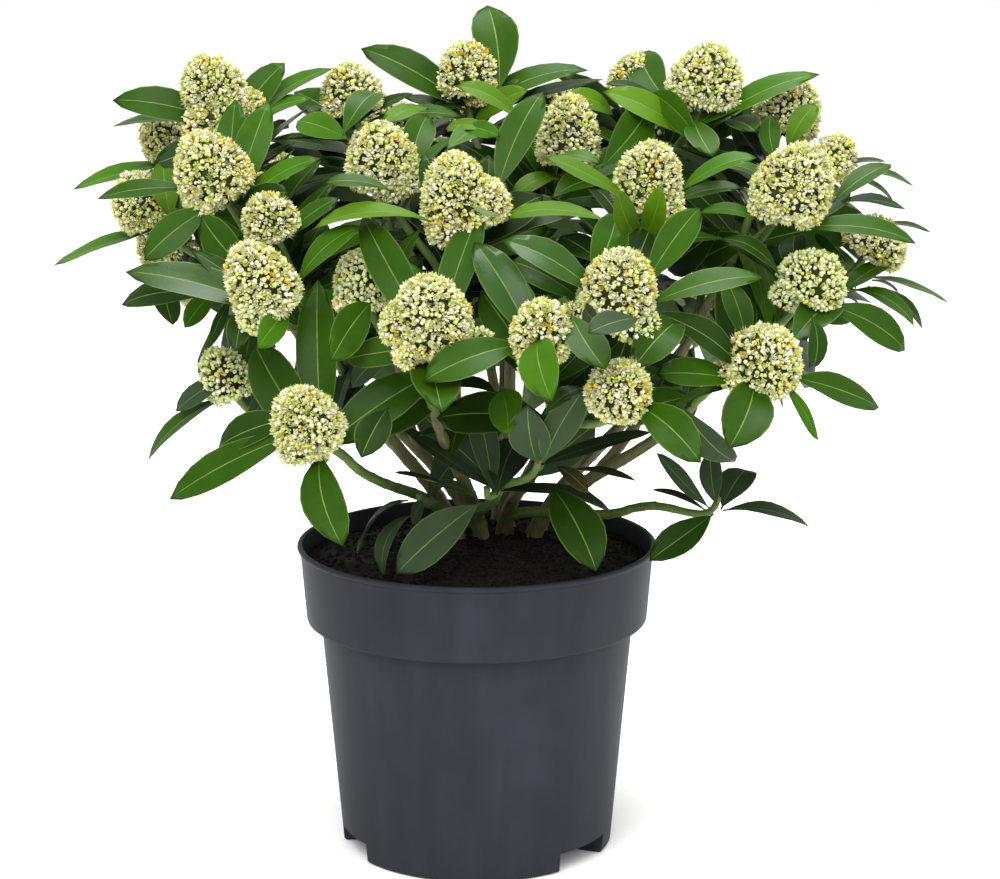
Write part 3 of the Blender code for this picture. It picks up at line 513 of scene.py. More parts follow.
# Leaves this far down the twig take the dark tint: partly the darker green of older leaves, partly painted
# shade for the crown's inner leaves
DARK_AND_SHADED_FROM = 0.55
FACE_UP = 0.5
FACE_OUT = 0.55
SEEN_RANGES = {"tone": (0.2, 0.8), "fold": (0.75, 1.25), "twist": (-0.12, 0.12), "wave": (0.03, 0.09),
               "phase": (0.0, 6.3)}
LEAF_RANGES = {"tone": (0.0, 1.0), "fold": (0.6, 1.3), "twist": (-0.35, 0.35), "sway": (-0.08, 0.08),
               "wave": (0.02, 0.09), "phase": (0.0, 6.3), "width": (0.85, 1.08), "bend": (0.6, 1.5)}
ARC_STEPS = 40
OUTER_PART = np.linspace(0.3, 1.0, 6)
BLADE_REACH = 0.009
NEIGHBOUR_REACH = 0.09
LEAF_APART = {"own": 0.0045, "other": 0.0035}
HEAD_BARE = {"own": 0.36, "other": 0.5}
HEAD_SHOWN = 0.46
HEAD_FRONT = 0.012
SKY_MARGIN = 0.002
LEAF_TRIES = ((0, 0, 1.0), (28, 0, 1.0), (-28, 0, 1.0), (0, 22, 1.0), (28, 22, 1.0), (-28, 22, 1.0),
              (56, 12, 0.9), (-56, 12, 0.9), (0, 38, 0.85), (40, 38, 0.85), (-40, 38, 0.85))
LEAF_STATIONS = (0.0, 0.05, 0.15, 0.275, 0.4, 0.525, 0.65, 0.775, 0.9, 1.0)
LEAF_COLUMNS = (-1.0, -0.5, -0.03, 0.03, 0.5, 1.0)
LEAF_CAMBER = 0.0004
FOLD_FADE = 0.45
FOLD_ROUND = 0.30
MARGIN_WAVES = 1.3
MARGIN_SHIFT = 1.7

# Flower heads and florets, as shares of a head's size unless they are lengths in metres or angles
HEAD_UPPER = 0.70
HEAD_LOWER = 0.27
HEAD_WIDEST = 0.20
HEAD_CURVE = (1.12, 0.8)
HEAD_COVER = math.radians(126)
HEAD_AREA = 0.86
FLORET_INSET = 0.003
FLORETS_LEAST = 12
LOOSE_SPREAD = 1.25
CLUSTER_SIZE = 13
CLUSTERS_LEAST = 8
CLUSTER_EDGE = 0.05
CLUSTER_SCATTER = 0.1
TILT_RANGE = (0.02, 2.3)
TILT_SCATTER = 0.035
SPIN_SCATTER = 0.06
SINK_SCATTER = 0.0006
LOW_FROM = math.radians(84)
CLUSTER_SPLAY = 0.5
FLORET_SPLAY = 0.42
FLORET_UPRIGHT = 0.12
FLORET_SIZES = (0.78, 1.12)
OPEN_SIZE = 0.8
MOOD_SHARES = (0.55, 0.45)
CLUSTER_GAP = {False: 0.0013, True: 0.0024}
CORE_INSET = {False: 0.0041, True: 0.0060}
BUD, HALF, OPEN, FRINGE = range(4)
KIND_STEPS = (0.34, 0.66, 0.92)
LIME, GOLDEN, BUDGREEN = range(2, 5)
BLOSSOM_NAMES = ("ivory", "cream", "lime", "golden", "budgreen")
COLOUR_STEPS = (0.26, 0.72)
GOLDEN_FROM = 0.82
LIME_UNDER = 0.18
PALE_BUDS = {False: 0.28, True: 0.6}
LOOSE_BUDS = 0.55
FLORET_THIRDS = (-0.065, 0.095)

# Stage: each light is a name, a place, a width in metres and a power in watts
FLOOR_HALF = 120.0
FLOOR_LEVEL = -0.0004
WORLD_STRENGTH = 1.04
LIGHTS = (
    ("key light", (-0.5, -2.2, 2.5), 2.0, 100),
    ("fill light", (1.9, -1.4, 1.4), 1.8, 16),
    ("top light", (0.3, 0.5, 2.4), 1.4, 60),
)
LIGHT_AIM = (0.0, 0.0, 0.3)
SENSOR_WIDTH = 36.0
LENS = 102.95
LOOK_DOWN = 12.5


def linear(code):
    """The linear colour of an sRGB hex value."""
    shares = np.array([int(code[k:k + 2], 16) / 255.0 for k in (1, 3, 5)])
    return tuple(np.where(shares <= 0.04045, shares / 12.92, ((shares + 0.055) / 1.055) ** 2.4))


def colour_choice(name, description, code):
    """A colour setting whose default is an sRGB hex value."""
    return bpy.props.FloatVectorProperty(name=name, description=description, default=linear(code),
                                         subtype="COLOR", size=3, min=0.0, max=1.0)


def length_choice(name, description, value, least):
    """A length setting in metres."""
    return bpy.props.FloatProperty(name=name, description=description, default=value, min=least,
                                   unit="LENGTH")


def share_choice(name, description, value, least, most):
    """A setting that is a share of something else."""
    return bpy.props.FloatProperty(name=name, description=description, default=value, min=least, max=most,
                                   subtype="FACTOR")


def count_choice(name, description, value, least):
    """A setting that counts things."""
    return bpy.props.IntProperty(name=name, description=description, default=value, min=least)


class SkimmiaPotSettings(bpy.types.PropertyGroup):
    """Sizes and colours of the pot and what fills it."""

    rim_radius: length_choice("Rim radius", "Outer radius of the pot's rim", RIM_RADIUS, 0.02)
    height: length_choice("Height", "Height of the pot", POT_HEIGHT, 0.02)
    sides: count_choice("Sides", "Points round the pot", 216, 24)
    plastic: colour_choice("Plastic", "Colour of the moulded pot", "#282a2f")
    peat: colour_choice("Peat", "Colour of the damp peat", "#120f0b")
    crumbs: count_choice("Crumbs", "Loose crumbs of peat", 1500, 0)
    crumb_size: length_choice("Crumb size", "Usual width of a crumb", 0.0024, 0.0002)


class SkimmiaWoodSettings(bpy.types.PropertyGroup):
    """Sizes and colours of stems, boughs and twigs."""

    ridge: share_choice("Ridges", "Height of the bark's ridges as a share of the radius", 0.13, 0.0, 0.5)
    bark: colour_choice("Bark", "Colour of the old bark", "#67663a")
    young: colour_choice("Young bark", "Colour of twigs of this year", "#56702a")


class SkimmiaLeafSettings(bpy.types.PropertyGroup):
    """Shape and colours of the leaves."""

    aspect: share_choice("Width", "Leaf width as a share of its length", 0.37, 0.1, 1.0)
    bend: bpy.props.FloatProperty(name="Bend", description="How far a leaf curves from its root to its tip",
                                  subtype="ANGLE", default=0.55, min=0.0)
    fold: share_choice("Fold", "How far the two halves rise from the midrib", 0.36, 0.0, 1.0)
    keel: length_choice("Keel", "Depth of the midrib under the leaf", 0.0008, 0.0001)
    mid: colour_choice("Mid green", "Colour of the usual leaf", "#213d03")
    # The dark green is partly older leaves' own colour, partly painted shade for leaves deep in the crown
    dark: colour_choice("Dark green", "Colour of older, shaded leaves", "#172d04")
    bright: colour_choice("Bright green", "Colour of the lighter leaves", "#2c4e05")
    young: colour_choice("Young green", "Colour of fresh yellow-green leaves", "#3b5a07")
    dull: colour_choice("Dull green", "Colour of the low, matt leaves", "#293722")
    glossy: colour_choice("Glossy green", "Colour of the leaves with the clearest wax", "#1f3a08")
    withered: colour_choice("Withered", "Colour of old curled leaves", "#2b2712")
    # On the margin this colour is partly a painted highlight along the leaf's edge
    rib: colour_choice("Midrib", "Colour of the midrib and the thin margin", "#566e2e")
    under: colour_choice("Underside", "Colour of the pale underside", "#4a6138")


class SkimmiaBlossomSettings(bpy.types.PropertyGroup):
    """Sizes and colours of the flower heads."""

    pitch: length_choice("Floret spacing", "Distance between neighbouring florets", 0.00245, 0.001)
    back_pitch: length_choice("Spacing at the back", "Floret spacing on the far side", 0.0034, 0.001)
    floret: length_choice("Floret size", "Width of a floret's bud", 0.0028, 0.0005)
    ivory: colour_choice("Ivory", "Colour of the palest petals", "#cdcbb2")
    cream: colour_choice("Cream", "Colour of the usual petals", "#c4c28f")
    lime: colour_choice("Lime", "Colour of greenish petals", "#b3bb66")
    golden: colour_choice("Golden", "Colour of ageing petals", "#c2aa46")
    budgreen: colour_choice("Bud green", "Colour of unopened round buds", "#b0bc88")
    # Stalk colour: partly the green stalks, partly painted shade that keeps the gaps between florets dark
    core: colour_choice("Stalks", "Colour of the stalks inside a head", "#262f07")


# Meshes

def piece(name, points, faces, surfaces, slots=None, flat=None, tones=None, creases=None, smooth=True):
    """A mesh object from an array of points and an array of faces of four corners, where -1 stands for none.

    slots gives each face its surface, flat each point its place on the UV map, tones each point one number,
    and creases each point a line number: an edge between two points of one line stays sharp.
    """
    mesh = bpy.data.meshes.new(name)
    used = faces >= 0
    corners = faces[used].astype(np.int32)
    totals = used.sum(axis=1)
    mesh.vertices.add(len(points))
    mesh.vertices.foreach_set("co", points.astype(np.float32).ravel())
    mesh.loops.add(len(corners))
    mesh.loops.foreach_set("vertex_index", corners)
    mesh.polygons.add(len(faces))
    mesh.polygons.foreach_set("loop_start", np.concatenate(([0], np.cumsum(totals)[:-1])).astype(np.int32))
    mesh.update(calc_edges=True)
    mesh.polygons.foreach_set("use_smooth", np.full(len(faces), smooth))
    for surface in surfaces:
        mesh.materials.append(surface)
    if slots is not None:
        mesh.polygons.foreach_set("material_index", slots.astype(np.int32))
    if flat is not None:
        layer = mesh.uv_layers.new(name="leaf")
        layer.uv.foreach_set("vector", flat[corners].astype(np.float32).ravel())
    if tones is not None:
        layer = mesh.attributes.new("tone", "FLOAT", "POINT")
        layer.data.foreach_set("value", tones.astype(np.float32))
    if creases is not None:
        ends = np.zeros(2 * len(mesh.edges), np.int32)
        mesh.edges.foreach_get("vertices", ends)
        lines = creases[ends.reshape(-1, 2)]
        layer = mesh.attributes.new("sharp_edge", "BOOLEAN", "EDGE")
        layer.data.foreach_set("value", (lines[:, 0] >= 0) & (lines[:, 0] == lines[:, 1]))
    mesh.update()
    thing = bpy.data.objects.new(name, mesh)
    bpy.context.scene.collection.objects.link(thing)
    return thing


def dress(thing, nodes):
    """Lets a piece ride on the part and stand for its nodes."""
    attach(thing, "root")
    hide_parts(*nodes)
    return thing


def nodes_named(*starts):
    """The frame's nodes whose names start with one of these words, in order."""
    return [name for name in sorted(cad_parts) if name.startswith(starts)]


def gather(parts):
    """Several pairs of points and faces as one pair."""
    points = np.vstack([part[0] for part in parts])
    starts = np.cumsum([0] + [len(part[0]) for part in parts[:-1]])
    faces = np.vstack([np.where(part[1] >= 0, part[1] + start, -1) for part, start in zip(parts, starts)])
    return points, faces


def barrel_faces(rings, sides):
    """Faces of a closed form that has a pole, rings of points and a second pole, in that order."""
    ring = 1 + np.arange(rings * sides).reshape(rings, sides)
    after = np.roll(ring, -1, axis=1)
    none = np.full(sides, -1)
    foot = np.stack((np.zeros(sides, int), after[0], ring[0], none), axis=1)
    body = np.stack((ring[:-1], after[:-1], after[1:], ring[1:]), axis=2).reshape(-1, 4)
    top = np.stack((ring[-1], after[-1], np.full(sides, 1 + rings * sides), none), axis=1)
    return np.vstack((foot, body, top))


def turned_form(profile, sides):
    """A closed form turned about Z from (radius, height) rows whose first and last lie on the axis."""
    profile = np.asarray(profile, float)
    angles = 2 * math.pi * np.arange(sides) / sides
    circle = np.stack((np.cos(angles), np.sin(angles)), axis=1)
    middle = profile[1:-1]
    flat = middle[:, None, 0, None] * circle[None]
    heights = np.broadcast_to(middle[:, 1, None, None], (len(middle), sides, 1))
    rings = np.concatenate((flat, heights), axis=2).reshape(-1, 3)
    points = np.vstack(((0.0, 0.0, profile[0, 1]), rings, (0.0, 0.0, profile[-1, 1])))
    return points, barrel_faces(len(middle), sides)


def facing_out(points, faces):
    """The same closed form with its faces turned so that it holds a volume above zero."""
    corners = points[faces[:, :3]]
    volume = np.einsum("ij,ij->i", corners[:, 0], np.cross(corners[:, 1], corners[:, 2])).sum()
    third = faces[:, 3] >= 0
    late = points[np.where(third[:, None], faces[:, [0, 2, 3]], 0)]
    volume += np.where(third, np.einsum("ij,ij->i", late[:, 0], np.cross(late[:, 1], late[:, 2])), 0.0).sum()
    if volume > 0:
        return points, faces
    back = np.where(third[:, None], faces[:, ::-1], faces[:, [2, 1, 0, 3]])
    return points, back


def perpendicular(axes):
    """For each direction, one at right angles to it."""
    along_guide = np.abs(axes @ GUIDE)[..., None] > 0.9
    return units(np.cross(axes, np.where(along_guide, OTHER_GUIDE, GUIDE)))


def copies(form, spots, axes, turns, sizes):
    """Copies of a small closed form: each is turned about its axis, stood along it, scaled and moved."""
    points, faces = form
    side = perpendicular(axes)
    other = np.cross(axes, side)
    cos, sin = np.cos(turns)[:, None], np.sin(turns)[:, None]
    frames = np.stack((cos * side + sin * other, cos * other - sin * side, axes), axis=1)
    placed = spots[:, None, :] + sizes[:, None, None] * np.einsum("vk,nkj->nvj", points, frames)
    starts = len(points) * np.arange(len(spots))[:, None, None]
    return placed.reshape(-1, 3), np.where(faces[None] >= 0, faces[None] + starts, -1).reshape(-1, 4)


def unit(vector):
    """A vector made one long."""
    return vector / np.linalg.norm(vector)


def units(vectors):
    """Vectors along the last axis, each made one long."""
    return vectors / np.linalg.norm(vectors, axis=-1, keepdims=True)


def bezier(start, leave, arrive, end, count):
    """Points of a cubic curve from its four control points."""
    t = np.linspace(0.0, 1.0, count)[:, None]
    s = 1.0 - t
    return s ** 3 * start + 3 * s * s * t * leave + 3 * s * t * t * arrive + t ** 3 * end


def ripples(points, size, seed, count=9):
    """Soft lumps from -1 to 1: a sum of sine waves of about one length that run in seeded directions."""
    rng = np.random.default_rng(seed)
    ways = units(rng.normal(size=(count, 3))) / (size * rng.uniform(0.7, 1.5, (count, 1)))
    phases = rng.uniform(0, 2 * math.pi, count)
    return np.sin(2 * math.pi * points @ ways.T + phases).sum(axis=-1) / math.sqrt(count) * 0.8


def run_along(path):
    """The length of a path from its start to each of its points."""
    return np.concatenate(([0.0], np.cumsum(np.linalg.norm(np.diff(path, axis=0), axis=1))))


def swept(path, radii):
    """A closed tube along a path, with one row of radii for each point of it and one column for each side."""
    tangents = units(np.gradient(path, axis=0))
    side = perpendicular(tangents[0])
    sides = []
    for tangent in tangents:
        side = unit(side - tangent * np.dot(side, tangent))
        sides.append(side)
    sides = np.array(sides)
    others = np.cross(tangents, sides)
    angles = 2 * math.pi * np.arange(radii.shape[1]) / radii.shape[1]
    arms = np.cos(angles)[None, :, None] * sides[:, None] + np.sin(angles)[None, :, None] * others[:, None]
    rings = path[:, None] + radii[:, :, None] * arms
    points = np.vstack((path[0], rings.reshape(-1, 3), path[-1]))
    return points, barrel_faces(len(path), radii.shape[1])


# Surfaces

def fill(tree, node, inputs):
    """Gives each input of a node its value, or links the socket that stands there instead."""
    for name, value in inputs.items():
        if isinstance(value, bpy.types.NodeSocket):
            tree.links.new(value, node.inputs[name])
        else:
            node.inputs[name].default_value = value


def add(tree, kind, inputs=None, **settings):
    """Adds a node with its settings and its inputs."""
    node = tree.nodes.new(kind)
    for name, value in settings.items():
        setattr(node, name, value)
    fill(tree, node, inputs or {})
    return node


def started(name):
    """A new material, its node tree and its Principled shader."""
    made = bpy.data.materials.new(name)
    made.use_nodes = True
    return made, made.node_tree, made.node_tree.nodes["Principled BSDF"]


def rgba(colour, gain=1.0):
    """A colour with full alpha, made darker or lighter by a gain."""
    return (*(min(1.0, channel * gain) for channel in colour), 1.0)


def moulded_polypropylene(settings):
    """Injection-moulded polypropylene: a satin skin with a fine grain and faint dull patches of dust."""
    made, tree, shader = started("moulded polypropylene")
    place = add(tree, "ShaderNodeTexCoord").outputs["Object"]
    dust = add(tree, "ShaderNodeTexNoise", {"Vector": place, "Scale": 26.0, "Detail": 4.0, "Roughness": 0.6})
    streaks = add(tree, "ShaderNodeMapping", {"Vector": place, "Scale": (1.0, 1.0, 0.12)})
    flow = add(tree, "ShaderNodeTexNoise", {"Vector": streaks.outputs[0], "Scale": 60.0, "Detail": 3.0})
    both = add(tree, "ShaderNodeMath", {0: dust.outputs["Fac"], 1: flow.outputs["Fac"]}, operation="MULTIPLY")
    share = add(tree, "ShaderNodeMapRange", {"Value": both.outputs[0], "From Min": 0.12, "From Max": 0.42})
    shades = {6: rgba(settings.plastic, 0.88), 7: rgba(settings.plastic, 1.16)}
    shade = add(tree, "ShaderNodeMix", {0: share.outputs[0], **shades}, data_type="RGBA")
    rough = add(tree, "ShaderNodeMapRange", {"Value": dust.outputs["Fac"], "To Min": 0.44, "To Max": 0.6})
    grain = add(tree, "ShaderNodeTexNoise", {"Vector": place, "Scale": 1600.0, "Detail": 2.0})
    relief = add(tree, "ShaderNodeBump",
                 {"Height": grain.outputs["Fac"], "Strength": 0.16, "Distance": 0.0003})
    fill(tree, shader, {"Base Color": shade.outputs[2], "Roughness": rough.outputs[0], "IOR": 1.49,
                        "Normal": relief.outputs[0], "Specular IOR Level": 0.07})
    return made


def damp_peat(settings):
    """Milled peat, damp: near black, rough, with crumbs 1 to 3 mm across and a few paler fibres."""
    made, tree, shader = started("damp peat")
    place = add(tree, "ShaderNodeTexCoord").outputs["Object"]
    crumbs = add(tree, "ShaderNodeTexVoronoi", {"Vector": place, "Scale": 420.0})
    fibres = add(tree, "ShaderNodeTexNoise",
                 {"Vector": place, "Scale": 240.0, "Detail": 6.0, "Roughness": 0.7})
    share = add(tree, "ShaderNodeMapRange",
                {"Value": fibres.outputs["Fac"], "From Min": 0.42, "From Max": 0.72})
    shades = {6: rgba(settings.peat, 0.7), 7: rgba(settings.peat, 2.4)}
    shade = add(tree, "ShaderNodeMix", {0: share.outputs[0], **shades}, data_type="RGBA")
    relief = add(tree, "ShaderNodeBump",
                 {"Height": crumbs.outputs["Distance"], "Strength": 0.7, "Distance": 0.001})
    fill(tree, shader, {"Base Color": shade.outputs[2], "Roughness": 0.92, "Normal": relief.outputs[0],
                        "Specular IOR Level": 0.2})
    return made


def furrowed_bark(name, dark, light):
    """Thin skimmia bark: olive-brown, matt, with fine furrows about 1 mm apart that run along the stem."""
    made, tree, shader = started(name)
    place = add(tree, "ShaderNodeTexCoord").outputs["Object"]
    long = add(tree, "ShaderNodeMapping", {"Vector": place, "Scale": (1.0, 1.0, 0.16)})
    furrows = add(tree, "ShaderNodeTexNoise",
                  {"Vector": long.outputs[0], "Scale": 700.0, "Detail": 5.0, "Roughness": 0.65})
    patches = add(tree, "ShaderNodeTexNoise", {"Vector": place, "Scale": 70.0, "Detail": 3.0})
    both = add(tree, "ShaderNodeMath",
               {0: furrows.outputs["Fac"], 1: patches.outputs["Fac"]}, operation="MULTIPLY")
    share = add(tree, "ShaderNodeMapRange", {"Value": both.outputs[0], "From Min": 0.14, "From Max": 0.38})
    shade = add(tree, "ShaderNodeMix", {0: share.outputs[0], 6: rgba(dark), 7: rgba(light)}, data_type="RGBA")
    relief = add(tree, "ShaderNodeBump",
                 {"Height": furrows.outputs["Fac"], "Strength": 0.6, "Distance": 0.0006})
    fill(tree, shader, {"Base Color": shade.outputs[2], "Roughness": 0.74, "Normal": relief.outputs[0]})
    return made


def waxy_blade(name, colour, rib, rough, shine):
    """The upper side of an evergreen leaf: saturated green under a thin wax, so lights spread softly on it.

    The thin pale margin, partly the leaf's own pale edge and partly a painted highlight along it, comes from
    the leaf's own UV map, and each leaf has its own tone.
    """
    made, tree, shader = started(name)
    tone = add(tree, "ShaderNodeAttribute", attribute_name="tone").outputs["Fac"]
    place = add(tree, "ShaderNodeTexCoord")
    blotch = add(tree, "ShaderNodeTexNoise",
                 {"Vector": place.outputs["Object"], "Scale": 60.0, "Detail": 3.0})
    mixed = add(tree, "ShaderNodeMath", {0: tone, 1: blotch.outputs["Fac"]}, operation="ADD")
    share = add(tree, "ShaderNodeMapRange", {"Value": mixed.outputs[0], "From Min": 0.3, "From Max": 1.3})
    shades = {6: rgba(colour, 0.72), 7: rgba(colour, 1.32)}
    blade = add(tree, "ShaderNodeMix", {0: share.outputs[0], **shades}, data_type="RGBA")
    across = add(tree, "ShaderNodeSeparateXYZ", {0: place.outputs["UV"]}).outputs["X"]
    centred = add(tree, "ShaderNodeMath", {0: across, 1: 0.5}, operation="SUBTRACT")
    from_rib = add(tree, "ShaderNodeMath", {0: centred.outputs[0]}, operation="ABSOLUTE")
    # The pale margin: partly the leaf's own pale edge, partly a painted highlight along the edge
    margin = add(tree, "ShaderNodeMapRange",
                 {"Value": from_rib.outputs[0], "From Min": 0.462, "From Max": 0.497, "To Max": 0.75})
    shades = {6: blade.outputs[2], 7: rgba(rib)}
    margin_and_highlight = add(tree, "ShaderNodeMix", {0: margin.outputs[0], **shades}, data_type="RGBA")
    wax = add(tree, "ShaderNodeMapRange",
              {"Value": blotch.outputs["Fac"], "To Min": rough - 0.05, "To Max": rough + 0.07})
    cells = add(tree, "ShaderNodeTexNoise",
                {"Vector": place.outputs["Object"], "Scale": 520.0, "Detail": 3.0})
    relief = add(tree, "ShaderNodeBump",
                 {"Height": cells.outputs["Fac"], "Strength": 0.22, "Distance": 0.0004})
    fill(tree, shader, {"Base Color": margin_and_highlight.outputs[2], "Roughness": wax.outputs[0], "IOR": 1.45,
                        "Normal": relief.outputs[0], "Specular IOR Level": shine})
    return made


def fleshy(name, colour, rough, spread=0.22):
    """Soft plant tissue, as a midrib, a pale underside or a petal: one colour, a little uneven, half matt."""
    made, tree, shader = started(name)
    place = add(tree, "ShaderNodeTexCoord").outputs["Object"]
    uneven = add(tree, "ShaderNodeTexNoise", {"Vector": place, "Scale": 190.0, "Detail": 3.0})
    share = add(tree, "ShaderNodeMapRange",
                {"Value": uneven.outputs["Fac"], "From Min": 0.32, "From Max": 0.68})
    shades = {6: rgba(colour, 1.0 - spread), 7: rgba(colour, 1.0 + spread)}
    shade = add(tree, "ShaderNodeMix", {0: share.outputs[0], **shades}, data_type="RGBA")
    fill(tree, shader, {"Base Color": shade.outputs[2], "Roughness": rough, "IOR": 1.42,
                        "Specular IOR Level": 0.2})
    return made


def studio_white(name, code, rough):
    """Seamless studio paper: matt and nearly white, with a faint fibre."""
    made, tree, shader = started(name)
    place = add(tree, "ShaderNodeTexCoord").outputs["Object"]
    fibre = add(tree, "ShaderNodeTexNoise", {"Vector": place, "Scale": 900.0})
    shades = {6: rgba(linear(code), 0.99), 7: rgba(linear(code))}
    shade = add(tree, "ShaderNodeMix", {0: fibre.outputs["Fac"], **shades}, data_type="RGBA")
    fill(tree, shader, {"Base Color": shade.outputs[2], "Roughness": rough})
    return made


# Pot and peat

def pot_profiles(rim, height):
    """The pot's section on its feet and in a channel, as rows of radius and height that go together.

    Both run from the middle of the underside up the outer side, round the rolled lip and down inside.
    """
    fillet = np.linspace(0.0, math.pi / 2, 5)
    foot = [(BASE_RADIUS - FOOT_FILLET + FOOT_FILLET * math.sin(a), FOOT_FILLET - FOOT_FILLET * math.cos(a))
            for a in fillet]
    lean = (BODY_TOP[0] - BASE_RADIUS) / (BODY_TOP[1] - FOOT_FILLET)
    at_channel = (BASE_RADIUS + lean * (CHANNEL_HEIGHT - FOOT_FILLET), CHANNEL_HEIGHT)
    upper = [(BASE_RADIUS + lean * (z - FOOT_FILLET), z) for z in np.linspace(0.03, BODY_TOP[1], 8)]
    neck = [(BODY_TOP[0] + 0.0004, BODY_TOP[1] + 0.0003), (BAND_FOOT[0] - BAND_STEP, BODY_TOP[1] + 0.0006),
            (BAND_FOOT[0] - 0.3 * BAND_STEP, BODY_TOP[1] + 0.0011), BAND_FOOT]
    band = [tuple(np.array(BAND_FOOT) + s * (np.array(BAND_TOP) - BAND_FOOT)) for s in (0.03, 0.35, 0.7, 1.0)]
    rolled = np.linspace(-math.pi / 3, math.pi / 2, 9)
    over = [(BAND_TOP[0] + LIP_RADIUS * math.cos(a), height - LIP_RADIUS + LIP_RADIUS * math.sin(a))
            for a in rolled]
    over += [(rim - WALL, height - 0.3 * LIP_RADIUS), (rim - WALL - 0.0003, height - LIP_RADIUS)]
    inner = [(BAND_TOP[0] - WALL, BAND_TOP[1]), (BAND_FOOT[0] - WALL, BAND_FOOT[1]),
             (BODY_TOP[0] - WALL, BODY_TOP[1]), (BASE_RADIUS, POT_FLOOR), (0.0, POT_FLOOR)]
    shared = [at_channel] + upper + neck + band + over + inner
    on_foot = [(0.0, 0.0), (CHANNEL_INNER, 0.0), (FOOT_RING, 0.0)] + foot + shared
    rise = np.linspace(0.25, 1.0, 3) * CHANNEL_HEIGHT
    ceiling = np.linspace(CHANNEL_INNER, at_channel[0], 6)[1:4]
    in_channel = [(0.0, 0.0), (CHANNEL_INNER, 0.0)] + [(CHANNEL_INNER, z) for z in rise]
    in_channel += [(r, CHANNEL_HEIGHT) for r in ceiling] + shared
    return np.array(on_foot), np.array(in_channel)


def build_pot_mesh(settings):
    """A turned surface that takes one of two sections by its angle, so a channel ends in a plain step."""
    on_foot, in_channel = pot_profiles(settings.rim_radius, settings.height)
    middles = CHANNEL_FIRST + 2 * math.pi * np.arange(CHANNEL_COUNT) / CHANNEL_COUNT
    edges = [middle + sign * CHANNEL_HALF_WIDTH for middle in middles for sign in (-1, 1)]
    shifts = (-CHANNEL_CORNER, CHANNEL_CORNER)
    corners = [(edge + shift) % (2 * math.pi) for edge in edges for shift in shifts]
    angles = 2 * math.pi * np.arange(settings.sides) / settings.sides
    angles = np.sort(np.concatenate((angles, corners)))
    away = np.abs((angles[:, None] - middles + math.pi) % (2 * math.pi) - math.pi).min(axis=1)
    section = np.where((away < CHANNEL_HALF_WIDTH)[:, None, None], in_channel[None], on_foot[None])
    x = section[..., 0] * np.sin(angles)[:, None]
    y = -section[..., 0] * np.cos(angles)[:, None]
    rings = np.stack((x, y, section[..., 1]), axis=2).transpose(1, 0, 2)[1:-1]
    points = np.vstack(((0.0, 0.0, 0.0), rings.reshape(-1, 3), (0.0, 0.0, on_foot[-1, 1])))
    return facing_out(points, barrel_faces(len(rings), len(angles)))


def peat_height(x, y):
    """The peat's level at a place: flat in the middle, a slope to the wall, and lumps of two sizes."""
    share = np.clip((np.hypot(x, y) - SOIL_FLAT_RADIUS) / (PEAT_RADIUS - SOIL_FLAT_RADIUS), 0.0, 1.0)
    flat = np.stack((x, y, np.zeros_like(x)), axis=-1)
    level = SOIL_TOP - PEAT_SINK + (SOIL_EDGE - SOIL_TOP) * share
    for height, length, seed in PEAT_LUMPS:
        level = level + height * ripples(flat, length, seed)
    return level


def build_peat_mesh():
    """A closed disc whose upper side follows peat_height over a grid of radius and angle."""
    radii = PEAT_RADIUS * np.linspace(0.0, 1.0, PEAT_RINGS + 1)[1:]
    angles = 2 * math.pi * np.arange(PEAT_SIDES) / PEAT_SIDES
    x = radii[::-1, None] * np.cos(angles)
    y = radii[::-1, None] * np.sin(angles)
    top = np.stack((x, y, peat_height(x, y)), axis=2)
    under = top[:1] * np.array((0.8, 0.8, 0.0)) + PEAT_BASE * UP
    middle = float(peat_height(np.zeros(1), np.zeros(1))[0])
    points = np.vstack((PEAT_BASE * UP, under.reshape(-1, 3), top.reshape(-1, 3), (0.0, 0.0, middle)))
    return facing_out(points, barrel_faces(1 + len(top), len(angles)))


def build_crumbs(settings):
    """Loose crumbs of peat: little lumps with two rings of six points, squashed and turned at random."""
    rng = np.random.default_rng(SEEDS["crumbs"])
    form = turned_form(((0, -0.42), (0.42, -0.22), (0.47, 0.18), (0, 0.40)), 6)
    form[0][1:-1] *= rng.uniform(0.72, 1.25, (12, 1))
    radius = CRUMB_SPREAD * np.sqrt(rng.uniform(0.0, 1.0, settings.crumbs))
    turn = rng.uniform(0, 2 * math.pi, settings.crumbs)
    x, y = radius * np.cos(turn), radius * np.sin(turn)
    sizes = settings.crumb_size * rng.uniform(0.5, 1.7, settings.crumbs)
    spots = np.stack((x, y, peat_height(x, y) + CRUMB_LIFT * sizes), axis=1)
    axes = units(rng.normal(size=(settings.crumbs, 3)))
    return copies(form, spots, axes, turn, sizes)


# Shoots and limbs, by the rule of the solids

def dome_height(reach):
    """The height of the far side's dome at a share of its radius."""
    return DOME_FOOT + DOME_RISE * math.sqrt(max(0.0, 1.0 - reach ** DOME_POWER))


def make_shoot(x, y, z, width, height, seen=False, loose=False):
    """A shoot leans out from the crown's middle, more the further out it stands."""
    head = np.array((x, y, z))
    out = np.array(((x - DOME_CENTRE[0]) / DOME_RADIUS[0], (y - DOME_CENTRE[1]) / DOME_RADIUS[1], 0.0))
    lean = LEAN * min(1.1, float(np.linalg.norm(out))) ** 1.3
    level = unit(np.array((x - DOME_CENTRE[0], y - DOME_CENTRE[1], 0.0)) + 1e-9)
    axis = math.cos(lean) * UP + math.sin(lean) * level
    base = head - axis * HEAD_SEAT * height
    return {"head": head, "axis": axis, "width": width, "height": height, "base": base, "seen": seen,
            "loose": loose}


